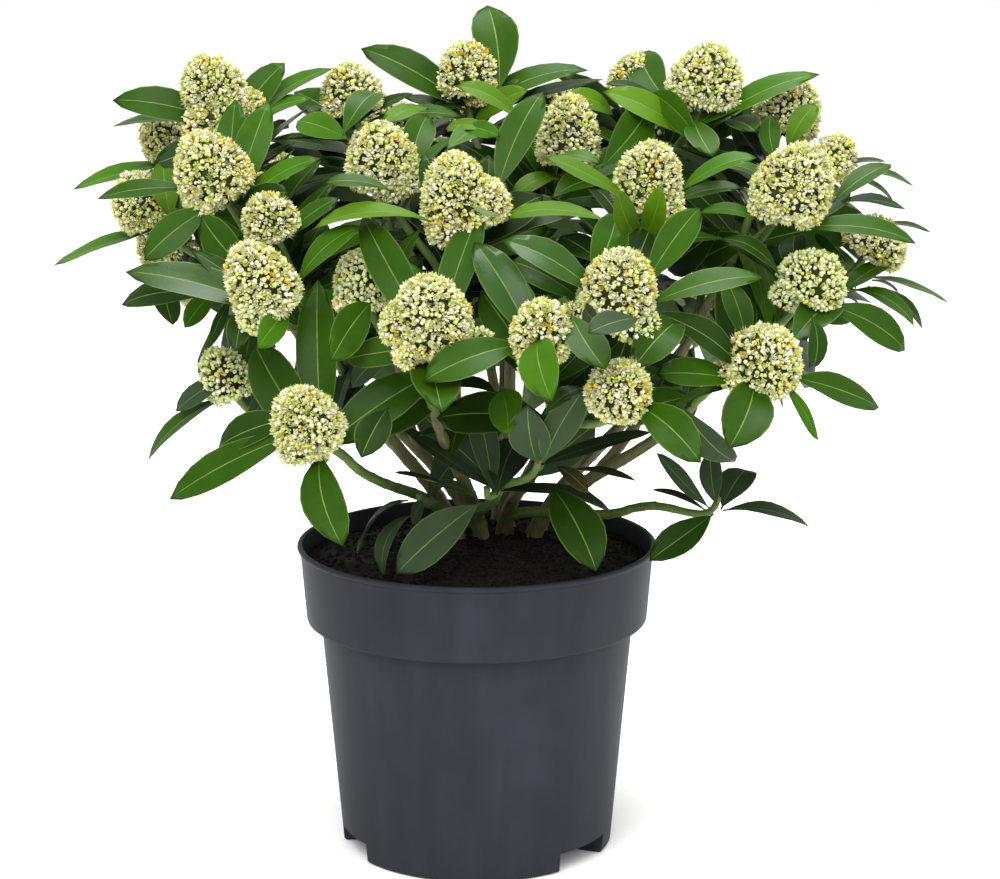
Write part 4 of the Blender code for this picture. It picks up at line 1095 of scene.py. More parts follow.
def shoots_by_mass():
    """Every shoot by its mass: first those that show from the front, then the rows on the far side's dome."""
    masses = {}
    for name, rows in SEEN_SHOOTS.items():
        masses[name] = [make_shoot(*(value * MM for value in row), True, (name, k) in LOOSE_HEADS)
                        for k, row in enumerate(rows)]
    rng = np.random.default_rng(SEEDS["back heads"])
    for row in BACK_ROWS:
        names = BACK_SECTORS[row["level"]]
        for k in range(row["count"]):
            turn = math.radians(row["first"] + (row["last"] - row["first"]) * k / (row["count"] - 1))
            x = DOME_CENTRE[0] + DOME_RADIUS[0] * row["reach"] * math.cos(turn)
            y = DOME_CENTRE[1] + DOME_RADIUS[1] * row["reach"] * math.sin(turn)
            spot = np.array((x, y, dome_height(row["reach"]))) + rng.uniform(-BACK_SCATTER, BACK_SCATTER, 3)
            size = rng.uniform(0.9, 1.1)
            name = names[min(len(names) - 1, k * len(names) // row["count"])]
            grown = masses.setdefault(name, [])
            spot = spot + np.array(BACK_MOVES.get((name, len(grown)), (0, 0, 0))) * MM
            grown.append(make_shoot(*spot, BACK_HEAD[0] * size, BACK_HEAD[1] * size))
    return masses


def limb_curve(name, masses, curves):
    """The four control points of a limb, from its foot or the limb that carries it towards its mass."""
    middle = np.mean([shoot["base"] for shoot in masses[name]], axis=0)
    if name in CARRIED_BY:
        parent, share = CARRIED_BY[name]
        route = bezier(*curves[parent], 6)
        spot = share * (len(route) - 1)
        low = int(spot)
        start = route[low] + (spot - low) * (route[low + 1] - route[low])
        along = unit(route[low + 1] - route[low])
        end = start + LIMB_REACH * (middle - start)
        span = np.linalg.norm(end - start)
        leave = start + BOUGH_PULL * span * unit(along + unit(end - start))
    else:
        start = np.array((STEM_FEET[name][0] * MM, STEM_FEET[name][1] * MM, SOIL_TOP + LIMB_GAP * MM))
        end = start + LIMB_REACH * (middle - start)
        span = np.linalg.norm(end - start)
        leave = start + STEM_PULL * span * unit(UP + unit(end - start))
    arrive = end - END_PULL * span * unit(unit(end - start) + END_RISE * UP)
    return start, leave, arrive, end


def limb_curves(masses):
    """The curve of every limb, each after that of the limb that carries it."""
    curves = {}
    waiting = list(masses)
    while waiting:
        name = waiting.pop(0)
        if name in CARRIED_BY and CARRIED_BY[name][0] not in curves:
            waiting.append(name)
        else:
            curves[name] = limb_curve(name, masses, curves)
    return curves


def bark_radii(path, first, last, flare, ridge, seed, sides):
    """Radii of a woody tube: a taper, a flare at its foot, drifting ridges and rings at old leaf scars."""
    run = run_along(path)[:, None]
    turn = 2 * math.pi * np.arange(sides)[None] / sides
    rng = np.random.default_rng(seed)
    taper = first + (last - first) * run / run[-1]
    taper = taper * (1.0 + flare * np.exp(-run / ROOT_FLARE_LENGTH))
    relief = np.zeros((len(path), sides))
    for waves, share in BARK_RIDGES:
        drift = rng.uniform(-25, 25) * run + 1.1 * np.sin(run * rng.uniform(60, 140) + rng.uniform(0, 6.3))
        relief += share * np.sin(waves * turn + drift + rng.uniform(0, 6.3))
    scars = np.zeros_like(run)
    spots = np.arange(SCAR_FIRST, float(run[-1, 0]), SCAR_STEP)
    for spot in spots + rng.uniform(-SCAR_SCATTER, SCAR_SCATTER):
        scars += SCAR_HEIGHT * np.exp(-((run - spot) / SCAR_WIDTH) ** 2)
    return taper * (1.0 + ridge * relief + scars)


def twig_routes(name, masses, curves):
    """The stem of a mass runs on from its limb to a fork, and one twig bends up from there to each shoot."""
    limb = bezier(*curves[name], 6)
    along = unit(limb[-1] - limb[-2])
    start = limb[-1]
    shoots = masses[name]
    middle = np.mean([shoot["base"] for shoot in shoots], axis=0)
    gap = np.linalg.norm(middle - start)
    fork = start + TWIG_FORK * gap * unit(along + unit(middle - start))
    stem = bezier(start - FORK_OVERLAP * along, start + 0.3 * TWIG_FORK * gap * along,
                  start + 0.5 * TWIG_FORK * gap * along, fork, 10)
    twigs = []
    for shoot in shoots:
        reach = np.linalg.norm(shoot["base"] - fork)
        leave = fork + TWIG_PULL * reach * unit(unit(fork - start) + unit(shoot["base"] - fork))
        arrive = shoot["base"] - TWIG_END_PULL * reach * shoot["axis"]
        twigs.append((fork - TWIG_OVERLAP * unit(fork - start), leave, arrive, shoot["base"]))
    return stem, twigs


def spot_on_twig(twig, below):
    """The point and the direction on a twig at a distance below the head's base."""
    run = np.linalg.norm(np.diff(twig, axis=0), axis=1)[::-1]
    left = below
    for k, length in enumerate(run):
        top = len(twig) - 1 - k
        if left <= length or k == len(run) - 1:
            share = min(1.0, left / length)
            return twig[top] + share * (twig[top - 1] - twig[top]), unit(twig[top] - twig[top - 1])
        left -= length


# Leaves

def leaf_row(root, ahead, face, length, **more):
    """One leaf: where it starts, the way it leaves, the way its upper side looks, and its own shape."""
    usual = {"width": 1.0, "bend": 1.0, "fold": 1.0, "twist": 0.0, "sway": 0.0, "wave": 0.0, "phase": 0.0,
             "tint": MID, "tone": 0.5}
    return {"root": root, "ahead": ahead, "face": face, "length": length, **usual, **more}


def drawn(rng, ranges):
    """One random number from each range, drawn in the order of the ranges."""
    return {key: rng.uniform(low, high) for key, (low, high) in ranges.items()}


def leaf_arc(bend):
    """A midrib in its own plane, at even steps from root to tip: how far ahead, how far down, and its slope.

    The slope is bend (t + 0.35 t^2) / 1.35, so a leaf curls more towards its tip.
    """
    t = np.linspace(0.0, 1.0, ARC_STEPS + 1)
    slope = np.asarray(bend, float)[..., None] * (t + 0.35 * t ** 2) / 1.35
    none = np.zeros_like(slope[..., :1])
    runs = []
    for way in (np.cos(slope), np.sin(slope)):
        steps = (way[..., 1:] + way[..., :-1]) / (2 * ARC_STEPS)
        runs.append(np.concatenate((none, np.cumsum(steps, axis=-1)), axis=-1))
    return runs[0], runs[1], slope


def seen_leaf(root, row, bend, rng):
    """A leaf from its root to a tip that shows, turned about the line between them from broadside."""
    x, y, z, lay, width, curl, sway, tint = row[:8]
    root = np.array(row[8:]) * MM if len(row) > 8 else root
    chord = np.array((x, y, z)) * MM - root
    along = unit(chord)
    broad = np.array(EYE) - root - chord / 2
    broad = unit(broad - along * np.dot(broad, along))
    lay = math.radians(lay)
    face = math.cos(lay) * broad + math.sin(lay) * np.cross(along, broad)
    ahead, down, _ = leaf_arc(bend * curl)
    own = np.array((ahead[-1], -down[-1], sway))
    own_along = unit(own)
    own_face = unit(np.array((0.0, 1.0, 0.0)) - own_along * own_along[1])
    turn = (np.outer(along, own_along) + np.outer(face, own_face)
            + np.outer(np.cross(along, face), np.cross(own_along, own_face)))
    length = np.linalg.norm(chord) / np.linalg.norm(own)
    return leaf_row(root, turn[:, 0], turn[:, 1], length, tint=tint, width=width, bend=curl, sway=sway,
                    **drawn(rng, SEEN_RANGES))


def leaf_towards(root, axis, angle, climb, length):
    """Where a leaf goes that leaves its twig at an angle round it and a climb above the level across it."""
    side = unit(np.cross(axis, GUIDE))
    other = np.cross(axis, side)
    out = math.cos(angle) * side + math.sin(angle) * other
    ahead = math.cos(climb) * out + math.sin(climb) * axis
    level = np.array((root[0] - DOME_CENTRE[0], root[1] - DOME_CENTRE[1], 0.0))
    face = axis + FACE_UP * UP + FACE_OUT * level / max(np.linalg.norm(level), 0.05)
    return root, ahead, unit(face - ahead * np.dot(face, ahead)), length


def leaf_line(root, ahead, face, length, bend):
    """Points along the outer part of a leaf."""
    far, down, _ = leaf_arc(bend)
    tip = length * (far[-1] * ahead - down[-1] * face)
    return root + tip * OUTER_PART[:, None]


def from_front(points):
    """Where points show on the plane y = 0 from the front, as x and z."""
    share = EYE[1] / (EYE[1] - points[..., 1:2])
    eye = np.array((EYE[0], EYE[2]))
    return eye + (points[..., ::2] - eye) * share


def inside(spots, outline):
    """Whether each spot lies inside a closed outline, by the crossings of a line that runs level from it."""
    corners = np.array(outline, float)
    after = np.roll(corners, -1, axis=0)
    across, up = spots[:, None, 0], spots[:, None, 1]
    rise = after[:, 1] - corners[:, 1]
    share = (up - corners[:, 1]) / np.where(rise == 0.0, 1.0, rise)
    level = (corners[:, 1] > up) != (after[:, 1] > up)
    crossed = level & (across < corners[:, 0] + share * (after[:, 0] - corners[:, 0]))
    return crossed.sum(axis=1) % 2 == 1


class Crown:
    """The leaves grown so far, and the flower heads, so that a new leaf keeps clear of both."""

    def __init__(self, heads):
        self.heads = heads
        self.lines = np.zeros((0, len(OUTER_PART), 3))
        self.owners = np.zeros(0, int)
        shown = [head for head in heads if head["width"] > 0.0 and head["seen"]]
        self.shown = from_front(np.array([head["head"] for head in shown]))
        self.depths = np.array([head["head"][1] for head in shown])
        self.radii = np.array([HEAD_SHOWN * (head["width"] + head["height"]) / 2 for head in shown])

    def clear(self, number, line):
        """Whether a line of points keeps clear of the leaves so far and of the middle of every head."""
        if len(self.lines):
            middles = self.lines.mean(axis=1)
            near = np.linalg.norm(middles - line.mean(axis=0), axis=1) < NEIGHBOUR_REACH
            gaps = np.linalg.norm(self.lines[near][:, :, None] - line, axis=3).min(axis=(1, 2))
            need = np.where(self.owners[near] == number, LEAF_APART["own"], LEAF_APART["other"])
            if np.any(gaps < need):
                return False
        for index, head in enumerate(self.heads):
            bare = HEAD_BARE["own" if index == number else "other"] * head["width"]
            if bare and np.linalg.norm(line - head["head"], axis=1).min() < bare:
                return False
        return True

    def in_the_way(self, line, side):
        """Whether a leaf would show where the sky or a flower head further back shows from the front."""
        points = np.vstack((line, line[1:5] + side, line[1:5] - side))
        spots = from_front(points)
        gaps = np.array(SKY_GAPS) * MM
        if not inside(spots, np.array(CROWN_OUTLINE) * MM).all():
            return True
        if np.any(np.linalg.norm(spots[:, None] - gaps[:, :2], axis=2) < gaps[:, 2] + SKY_MARGIN):
            return True
        over = np.linalg.norm(spots[:, None] - self.shown, axis=2) < self.radii
        return bool(np.any(over & (points[:, None, 1] < self.depths + HEAD_FRONT)))

    def take(self, number, line):
        """Adds the line of a leaf to those that later leaves keep clear of."""
        self.lines = np.vstack((self.lines, line[None]))
        self.owners = np.append(self.owners, number)


def leaf_plan(flowering, told, rng):
    """Rows of a slot on the twig, a share from inner to outer, and a scatter of turn, climb and length.

    A shoot's own leaves come first, less the ones that its rows stand for, and then those between them.
    """
    count = LEAVES_FLOWERING if flowering else LEAVES_LEAFY
    plan = [(slot, slot / (count - 1)) for slot in range(min(told, SEEN_STAND_IN), count)]
    if flowering:
        plan += [(BETWEEN_SLOTS[0] + extra * BETWEEN_SLOTS[1],
                  BETWEEN_SHARES[0] + BETWEEN_SHARES[1] * extra / LEAVES_BETWEEN)
                 for extra in range(LEAVES_BETWEEN)]
    return [(*row, *rng.uniform(-1, 1, 3)) for row in plan]


def grow_leaves(masses, routes, settings):
    """The leaves that show from the front, then each shoot's own by the golden angle and more between."""
    bend = settings.bend
    shoots = []
    for name in masses:
        for place, (shoot, twig) in enumerate(zip(masses[name], routes[name][1])):
            rows = SEEN_LEAVES[name][place] if name in SEEN_LEAVES else ()
            shoots.append((name, shoot, bezier(*twig, 4), rows))
    crown = Crown([shoot for _, shoot, _, _ in shoots])
    leaves = []
    own = np.random.default_rng(SEEDS["leaves"])
    for number, (_, _, twig, rows) in enumerate(shoots):
        for slot, row in enumerate(rows):
            leaf = seen_leaf(spot_on_twig(twig, SEEN_FIRST + SEEN_STEP * slot)[0], row, bend, own)
            chord = np.array(row[:3]) * MM - leaf["root"]
            crown.take(number, leaf["root"] + chord * OUTER_PART[:, None])
            leaves.append(leaf)
    for number, (name, shoot, twig, rows) in enumerate(shoots):
        rng = np.random.default_rng(SEEDS["leaf places"] + number)
        first = rng.uniform(0.0, 2 * math.pi)
        for slot, share, turn, rise, size in leaf_plan(shoot["width"] > 0.0, len(rows), rng):
            root, axis = spot_on_twig(twig, LEAF_FIRST + LEAF_STEP * slot)
            angle = first + slot * GOLDEN_ANGLE + TURN_SCATTER * turn
            climb = LEAF_RISE[0] + share * (LEAF_RISE[1] - LEAF_RISE[0]) + CLIMB_SCATTER * rise
            length = LEAF_LENGTH[0] + share * (LEAF_LENGTH[1] - LEAF_LENGTH[0])
            length = length * (1 + LENGTH_SCATTER * size)
            for side, lift, stretch in LEAF_TRIES:
                choice = leaf_towards(root, axis, angle + math.radians(side), climb + math.radians(lift),
                                      length * stretch)
                line = leaf_line(*choice, bend)
                if (shoot["seen"] and choice[1][1] <= 0.0) or not crown.clear(number, line):
                    continue
                if crown.in_the_way(line, BLADE_REACH * np.cross(choice[1], choice[2])):
                    continue
                crown.take(number, line)
                if name in DULL_MASSES:
                    tint = DULL
                # Lower, inner leaves take the dark tint, partly as painted shade
                elif share > DARK_AND_SHADED_FROM:
                    tint = DARK_AND_SHADED
                else:
                    tint = own.choice((MID, MID, BRIGHT, DARK_AND_SHADED))
                leaves.append(leaf_row(*choice, tint=tint, **drawn(own, LEAF_RANGES)))
                break
    return leaves


def leaf_half_width(t):
    """Half the width along a leaf as a share of the widest: a stalk, then s^1.05 (1-s)^0.80 over its peak."""
    s = np.clip((t - 0.03) / 0.97, 0.0, 1.0)
    peak = 1.05 / 1.85
    blade = s ** 1.05 * (1 - s) ** 0.80 / (peak ** 1.05 * (1 - peak) ** 0.80)
    return np.maximum(blade, 0.055 * (t < 0.2))


def leaf_mesh(leaves, settings):
    """Leaves as closed sheets on a grid of share along the leaf and share across it.

    The midrib follows leaf_arc. Across it, a half rises by fold u w and falls by 0.3 fold u^2 w, and the
    whole blade is cambered by 1 - u^2. The margin waves, and the underside is a shallow keel.
    """
    take = {key: np.array([leaf[key] for leaf in leaves]) for key in leaves[0]}
    t = np.array(LEAF_STATIONS)
    forward, fall, slope = leaf_arc(settings.bend * take["bend"])
    at = np.rint(t * ARC_STEPS).astype(int)
    forward, fall, slope = forward[:, at], fall[:, at], slope[:, at]
    ahead, face = take["ahead"][:, None], take["face"][:, None]
    across = np.cross(ahead, face)
    length = take["length"][:, None, None]
    rib = take["root"][:, None] + length * (forward[..., None] * ahead - fall[..., None] * face
                                            + take["sway"][:, None, None] * (t ** 2)[None, :, None] * across)
    upward = np.cos(slope)[..., None] * face + np.sin(slope)[..., None] * ahead
    twist = (take["twist"][:, None] * t)[..., None]
    side = np.cos(twist) * across + np.sin(twist) * upward
    upward = np.cos(twist) * upward - np.sin(twist) * across
    half = 0.5 * settings.aspect * (take["length"] * take["width"])[:, None] * leaf_half_width(t)
    fold = settings.fold * take["fold"][:, None] * (1.0 - FOLD_FADE * t)
    u = np.array(LEAF_COLUMNS)
    rise = fold[..., None] * (np.abs(u) - FOLD_ROUND * u ** 2)
    waves = np.sin(2 * math.pi * MARGIN_WAVES * t[None, :, None] + take["phase"][:, None, None]
                   + MARGIN_SHIFT * (u > 0))
    ruffle = take["wave"][:, None, None] * waves * np.abs(u)
    height = half[..., None] * (rise + ruffle) + LEAF_CAMBER * (1.0 - u ** 2)
    out = (half[..., None] * u)[..., None] * side[:, :, None]
    top = rib[:, :, None] + out + height[..., None] * upward[:, :, None]
    keel = rib - settings.keel * upward
    rows = np.concatenate((top, keel[:, :, None]), axis=2)
    count, stations, width = rows.shape[:3]
    points = np.concatenate((rows[:, :-1].reshape(count, -1, 3), rib[:, -1:]), axis=1)
    faces, slots = leaf_faces(stations - 1, len(u))
    across_map = np.append((u + 1) / 2, 0.5)
    flat = np.stack(np.meshgrid(t[:-1], across_map, indexing="ij")[::-1], axis=2).reshape(-1, 2)
    flat = np.vstack((flat, (0.5, 1.0)))
    margin = np.full((stations - 1, width), -1)
    margin[:, 0] = 0
    margin[:, len(u) - 1] = 1
    margin = np.append(margin.ravel(), -1)
    each = points.shape[1]
    starts = each * np.arange(count)[:, None, None]
    all_faces = np.where(faces[None] >= 0, faces[None] + starts, -1).reshape(-1, 4)
    lines = np.where(margin[None] >= 0, margin[None] + 2 * np.arange(count)[:, None], -1).ravel()
    return {
        "points": points.reshape(-1, 3),
        "faces": all_faces,
        "slots": np.tile(slots, count),
        "flat": np.tile(flat, (count, 1)),
        "tones": np.repeat(take["tone"], each),
        "creases": lines,
    }


def leaf_faces(stations, columns):
    """Faces of one leaf and their surfaces: 0 for the blade, 1 for the midrib, 2 for the underside."""
    width = columns + 1
    faces, slots = [], []
    strips = [(k, k + 1, 1 if k == columns // 2 - 1 else 0) for k in range(columns - 1)]
    strips += [(columns - 1, columns, 2), (columns, 0, 2)]
    tip = stations * width
    for left, right, slot in strips:
        for row in range(stations - 1):
            base = row * width
            faces.append((base + left, base + right, base + width + right, base + width + left))
            slots.append(slot)
        base = (stations - 1) * width
        faces.append((base + left, base + right, tip, -1))
        slots.append(slot)
    for k in range(1, columns - 1):
        faces.append((columns, k + 1, k, -1))
        slots.append(2)
    faces.append((columns, 1, 0, -1))
    slots.append(2)
    return np.array(faces), np.array(slots)


# Flower heads

def turned(points, turn):
    """Points turned about Z by an angle."""
    cos, sin = math.cos(turn), math.sin(turn)
    return points @ np.array(((cos, sin, 0.0), (-sin, cos, 0.0), (0.0, 0.0, 1.0)))


def petal(turn, root, middle, tip, half, depth):
    """One petal as a closed keeled form. root, middle and tip are (radius, height) pairs."""
    corners = np.array([(root[0], 0.0, root[1]), (tip[0], 0.0, tip[1]), (middle[0], -half, middle[1]),
                        (middle[0], half, middle[1]), (middle[0] + 0.3 * depth, 0.0, middle[1] - depth)])
    faces = np.array([(0, 2, 3, -1), (1, 3, 2, -1), (0, 4, 2, -1), (0, 3, 4, -1), (1, 2, 4, -1),
                      (1, 4, 3, -1)])
    return facing_out(turned(corners, turn), faces)


def spike(turn, root, tip, thick):
    """A stamen or a stalk as a thin closed spike between two (radius, height) pairs."""
    wide = root[0] + thick
    corners = np.array([(root[0], 0.0, root[1]), (wide, thick, root[1]), (wide, -thick, root[1]),
                        (tip[0], 0.0, tip[1])])
    faces = np.array([(0, 1, 2, -1), (0, 3, 1, -1), (1, 3, 2, -1), (2, 3, 0, -1)])
    return facing_out(turned(corners, turn), faces)


def floret_forms():
    """Low closed forms of one floret, one bud's width across: shut, half open, open, and stamens alone."""
    quarter = math.pi / 2
    bud = facing_out(*turned_form(((0, 0.0), (0.44, 0.45), (0.47, 1.0), (0, 1.40)), 5))
    half = gather([petal(k * quarter, (0.06, 0.10), (0.42, 0.90), (0.50, 1.50), 0.36, 0.16)
                   for k in range(4)])
    wide = gather([petal(k * quarter, (0.06, 0.35), (0.56, 0.95), (0.98, 1.12), 0.34, 0.18) for k in range(4)]
                  + [spike((k + 0.5) * quarter, (0.08, 0.5), (0.42, 1.55), 0.10) for k in range(4)])
    fringe = gather([spike(k * 2 * math.pi / 6 + 0.3, (0.10, 0.2), (0.70, 1.75), 0.10) for k in range(6)])
    return {BUD: bud, HALF: half, OPEN: wide, FRINGE: fringe}


def dome_spots(shoot, tilt, turn, inset):
    """Places on a flower head and the ways it looks there: a dome that is widest seven tenths down."""
    width, height = shoot["width"] / 2 - inset, shoot["height"]
    above = np.cos(tilt) > 0
    side = perpendicular(shoot["axis"])
    other = np.cross(shoot["axis"], side)
    tall = np.where(above, HEAD_UPPER * height - inset, HEAD_LOWER * height - 0.4 * inset)
    out = np.cos(turn)[:, None] * side + np.sin(turn)[:, None] * other
    wide = width * np.sin(tilt) ** np.where(above, *HEAD_CURVE)
    level = -HEAD_WIDEST * height + tall * np.cos(tilt)
    spots = shoot["head"] + wide[:, None] * out + level[:, None] * shoot["axis"]
    ways = (np.sin(tilt) / max(width, 1e-4))[:, None] * out + (np.cos(tilt) / tall)[:, None] * shoot["axis"]
    return spots, units(ways)


def head_florets(shoot, number, settings):
    """The florets of one head: spots by the golden angle on its dome, in clusters with low gaps between."""
    rng = np.random.default_rng(SEEDS["florets"] + number)
    loose = shoot["loose"]
    radius = shoot["width"] / 2
    area = 2 * math.pi * radius * shoot["height"] * HEAD_AREA
    pitch = settings.pitch if shoot["seen"] else settings.back_pitch
    count = max(FLORETS_LEAST, int(area / pitch ** 2 / (LOOSE_SPREAD if loose else 1.0)))
    k = np.arange(count)
    cover = 1 - math.cos(HEAD_COVER)
    tilt = np.arccos(1 - cover * (k + 0.5) / count) + rng.normal(0, TILT_SCATTER, count)
    tilt = np.clip(tilt, *TILT_RANGE)
    turn = k * GOLDEN_ANGLE + rng.normal(0, SPIN_SCATTER, count)
    clusters = max(CLUSTERS_LEAST, int(count / CLUSTER_SIZE))
    j = np.arange(clusters)
    c_tilt = np.arccos(1 - cover * (j + 0.5) / clusters) + rng.normal(0, CLUSTER_SCATTER, clusters)
    c_turn = j * GOLDEN_ANGLE + rng.uniform(0, 6.3)
    spots, ways = dome_spots(shoot, tilt, turn, FLORET_INSET)
    _, c_ways = dome_spots(shoot, np.clip(c_tilt, 0.05, 2.3), c_turn, FLORET_INSET)
    near = ways @ c_ways.T
    cluster = near.argmax(axis=1)
    best = np.sort(near, axis=1)
    edge = np.clip(1.0 - (best[:, -1] - best[:, -2]) / CLUSTER_EDGE, 0.0, 1.0)
    sink = CLUSTER_GAP[loose] * edge ** 1.5 + np.abs(rng.normal(0, SINK_SCATTER, count))
    spots = spots - sink[:, None] * ways
    splay = CLUSTER_SPLAY * (ways - c_ways[cluster])
    ways = units(ways + splay + FLORET_SPLAY * rng.normal(size=(count, 3)) + FLORET_UPRIGHT * shoot["axis"])
    low = tilt > LOW_FROM
    mood = rng.uniform(0, 1, clusters)[cluster] * MOOD_SHARES[0] + rng.uniform(0, 1, count) * MOOD_SHARES[1]
    kinds = np.digitize(rng.uniform(0, 1, count), KIND_STEPS)
    if loose:
        kinds = np.where(rng.uniform(0, 1, count) < LOOSE_BUDS, BUD, kinds)
    colours = np.digitize(rng.uniform(0, 1, count), COLOUR_STEPS)
    colours = np.where(mood > GOLDEN_FROM, GOLDEN, colours)
    colours = np.where(mood < LIME_UNDER, LIME, colours)
    pale = (rng.uniform(0, 1, count) < PALE_BUDS[loose]) & (low | loose)
    colours = np.where(pale & (kinds == BUD), BUDGREEN, colours)
    sizes = settings.floret * rng.uniform(*FLORET_SIZES, count) * np.where(kinds == OPEN, OPEN_SIZE, 1.0)
    sizes = sizes * math.sqrt(pitch / settings.pitch)
    return {"spots": spots, "ways": ways, "kinds": kinds, "colours": colours, "sizes": sizes,
            "turns": rng.uniform(0, 6.3, count)}


def stalk_and_shade_dome(shoot, rings=7, sides=14):
    """The stalks inside a head as one lumpy dome, a little under the florets; its dark colour is partly
    painted shade for the gaps between florets.
    """
    inset = min(CORE_INSET[shoot["loose"]], 0.3 * shoot["width"])
    tilts = np.linspace(math.pi, 0.0, rings + 2)[1:-1]
    turns = 2 * math.pi * np.arange(sides) / sides
    tilt, turn = (grid.ravel() for grid in np.meshgrid(tilts, turns, indexing="ij"))
    spots, ways = dome_spots(shoot, tilt, turn, inset)
    spots = spots + (0.0011 * ripples(spots, 0.009, SEEDS["stalks"]))[:, None] * ways
    ends, _ = dome_spots(shoot, np.array((math.pi, 0.0)), np.zeros(2), inset)
    return facing_out(np.vstack((ends[0], spots, ends[1])), barrel_faces(rings, sides))


# Operators

def state(context):
    """The plant's plan, worked out once from the tables: masses, limb curves and twig routes."""
    masses = shoots_by_mass()
    curves = limb_curves(masses)
    routes = {name: twig_routes(name, masses, curves) for name in masses}
    return masses, curves, routes


class SkimmiaBuildPot(bpy.types.Operator):
    """Builds the moulded pot, the peat and its loose crumbs"""

    bl_idname = "skimmia.build_pot"
    bl_label = "Pot and peat"

    def execute(self, context):
        settings = context.scene.skimmia_pot
        plastic = moulded_polypropylene(settings)
        peat = damp_peat(settings)
        pot = piece("pot_shell", *build_pot_mesh(settings), [plastic])
        pot.data.set_sharp_from_angle(angle=math.radians(38))
        dress(pot, ["pot"])
        dress(piece("peat_surface", *build_peat_mesh(), [peat]), ["soil"])
        crumbs = piece("peat_crumbs", *build_crumbs(settings), [peat], smooth=False)
        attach(crumbs, "root")
        return {"FINISHED"}


class SkimmiaBuildWood(bpy.types.Operator):
    """Builds the stems and boughs with their bark, and the green twigs"""

    bl_idname = "skimmia.build_wood"
    bl_label = "Stems, boughs and twigs"

    def execute(self, context):
        settings = context.scene.skimmia_wood
        masses, curves, routes = state(context)
        bark = furrowed_bark("olive-brown bark", tuple(0.45 * c for c in settings.bark), settings.bark)
        limbs = {False: [], True: []}
        for seed, name in enumerate(curves):
            carried = name in CARRIED_BY
            path = bezier(*curves[name], 70)
            first, last = BOUGH_RADIUS if carried else STEM_RADIUS
            if not carried:
                path = np.vstack((path[:1] - 0.004 * UP, path))
            flare = 0.0 if carried else ROOT_FLARE
            radii = bark_radii(path, first, last, flare, settings.ridge, SEEDS["limbs"] + seed, 24)
            limbs[name in GREEN_BOUGHS].append(swept(path, radii))
        green = furrowed_bark("green young bark", tuple(0.6 * c for c in settings.young), settings.young)
        low = ["bough_" + name for name in curves if name in GREEN_BOUGHS]
        woody = [name for name in nodes_named("stem_", "bough_") if name not in low]
        dress(piece("bark_limbs", *gather(limbs[False]), [bark]), woody)
        dress(piece("green_boughs", *gather(limbs[True]), [green]), low)
        twigs = []
        for seed, name in enumerate(masses):
            stem, branches = routes[name]
            end = (BOUGH_RADIUS if name in CARRIED_BY else STEM_RADIUS)[1]
            radii = bark_radii(stem, end, FORK_RADIUS, 0.0, FORK_RIDGE, SEEDS["forks"] + seed, 10)
            twigs.append(swept(stem, radii))
            first, last = TWIG_RADIUS * TWIG_TAPER[0], TWIG_RADIUS * TWIG_TAPER[1]
            for shoot, branch in zip(masses[name], branches):
                reach = TWIG_INTO_HEAD * shoot["height"] + LEAFY_TIP * (shoot["width"] == 0)
                path = np.vstack((bezier(*branch, 22), shoot["base"] + reach * shoot["axis"]))
                radii = bark_radii(path, first, last, 0.0, TWIG_RIDGE, SEEDS["twigs"] + seed, 9)
                twigs.append(swept(path, radii))
        dress(piece("green_twigs", *gather(twigs), [green]), nodes_named("foliage_"))
        return {"FINISHED"}


class SkimmiaBuildLeaves(bpy.types.Operator):
    """Builds the leaves, each tint as a piece of its own"""

    bl_idname = "skimmia.build_leaves"
    bl_label = "Leaves"

    def execute(self, context):
        settings = context.scene.skimmia_leaf
        masses, _, routes = state(context)
        leaves = grow_leaves(masses, routes, settings)
        rib = fleshy("pale midrib", settings.rib, 0.5)
        under = fleshy("pale leaf underside", settings.under, 0.62, 0.12)
        for tint, word in enumerate(TINT_NAMES):
            chosen = [leaf for leaf in leaves if leaf["tint"] == tint]
            if not chosen:
                continue
            blade = waxy_blade("waxy " + word + " leaf", getattr(settings, word), settings.rib,
                               LEAF_ROUGHNESS[tint], LEAF_SHINE[tint])
            grown = piece("leaves_" + word, surfaces=[blade, rib, under], **leaf_mesh(chosen, settings))
            dress(grown, nodes_named("foliage_"))
        return {"FINISHED"}


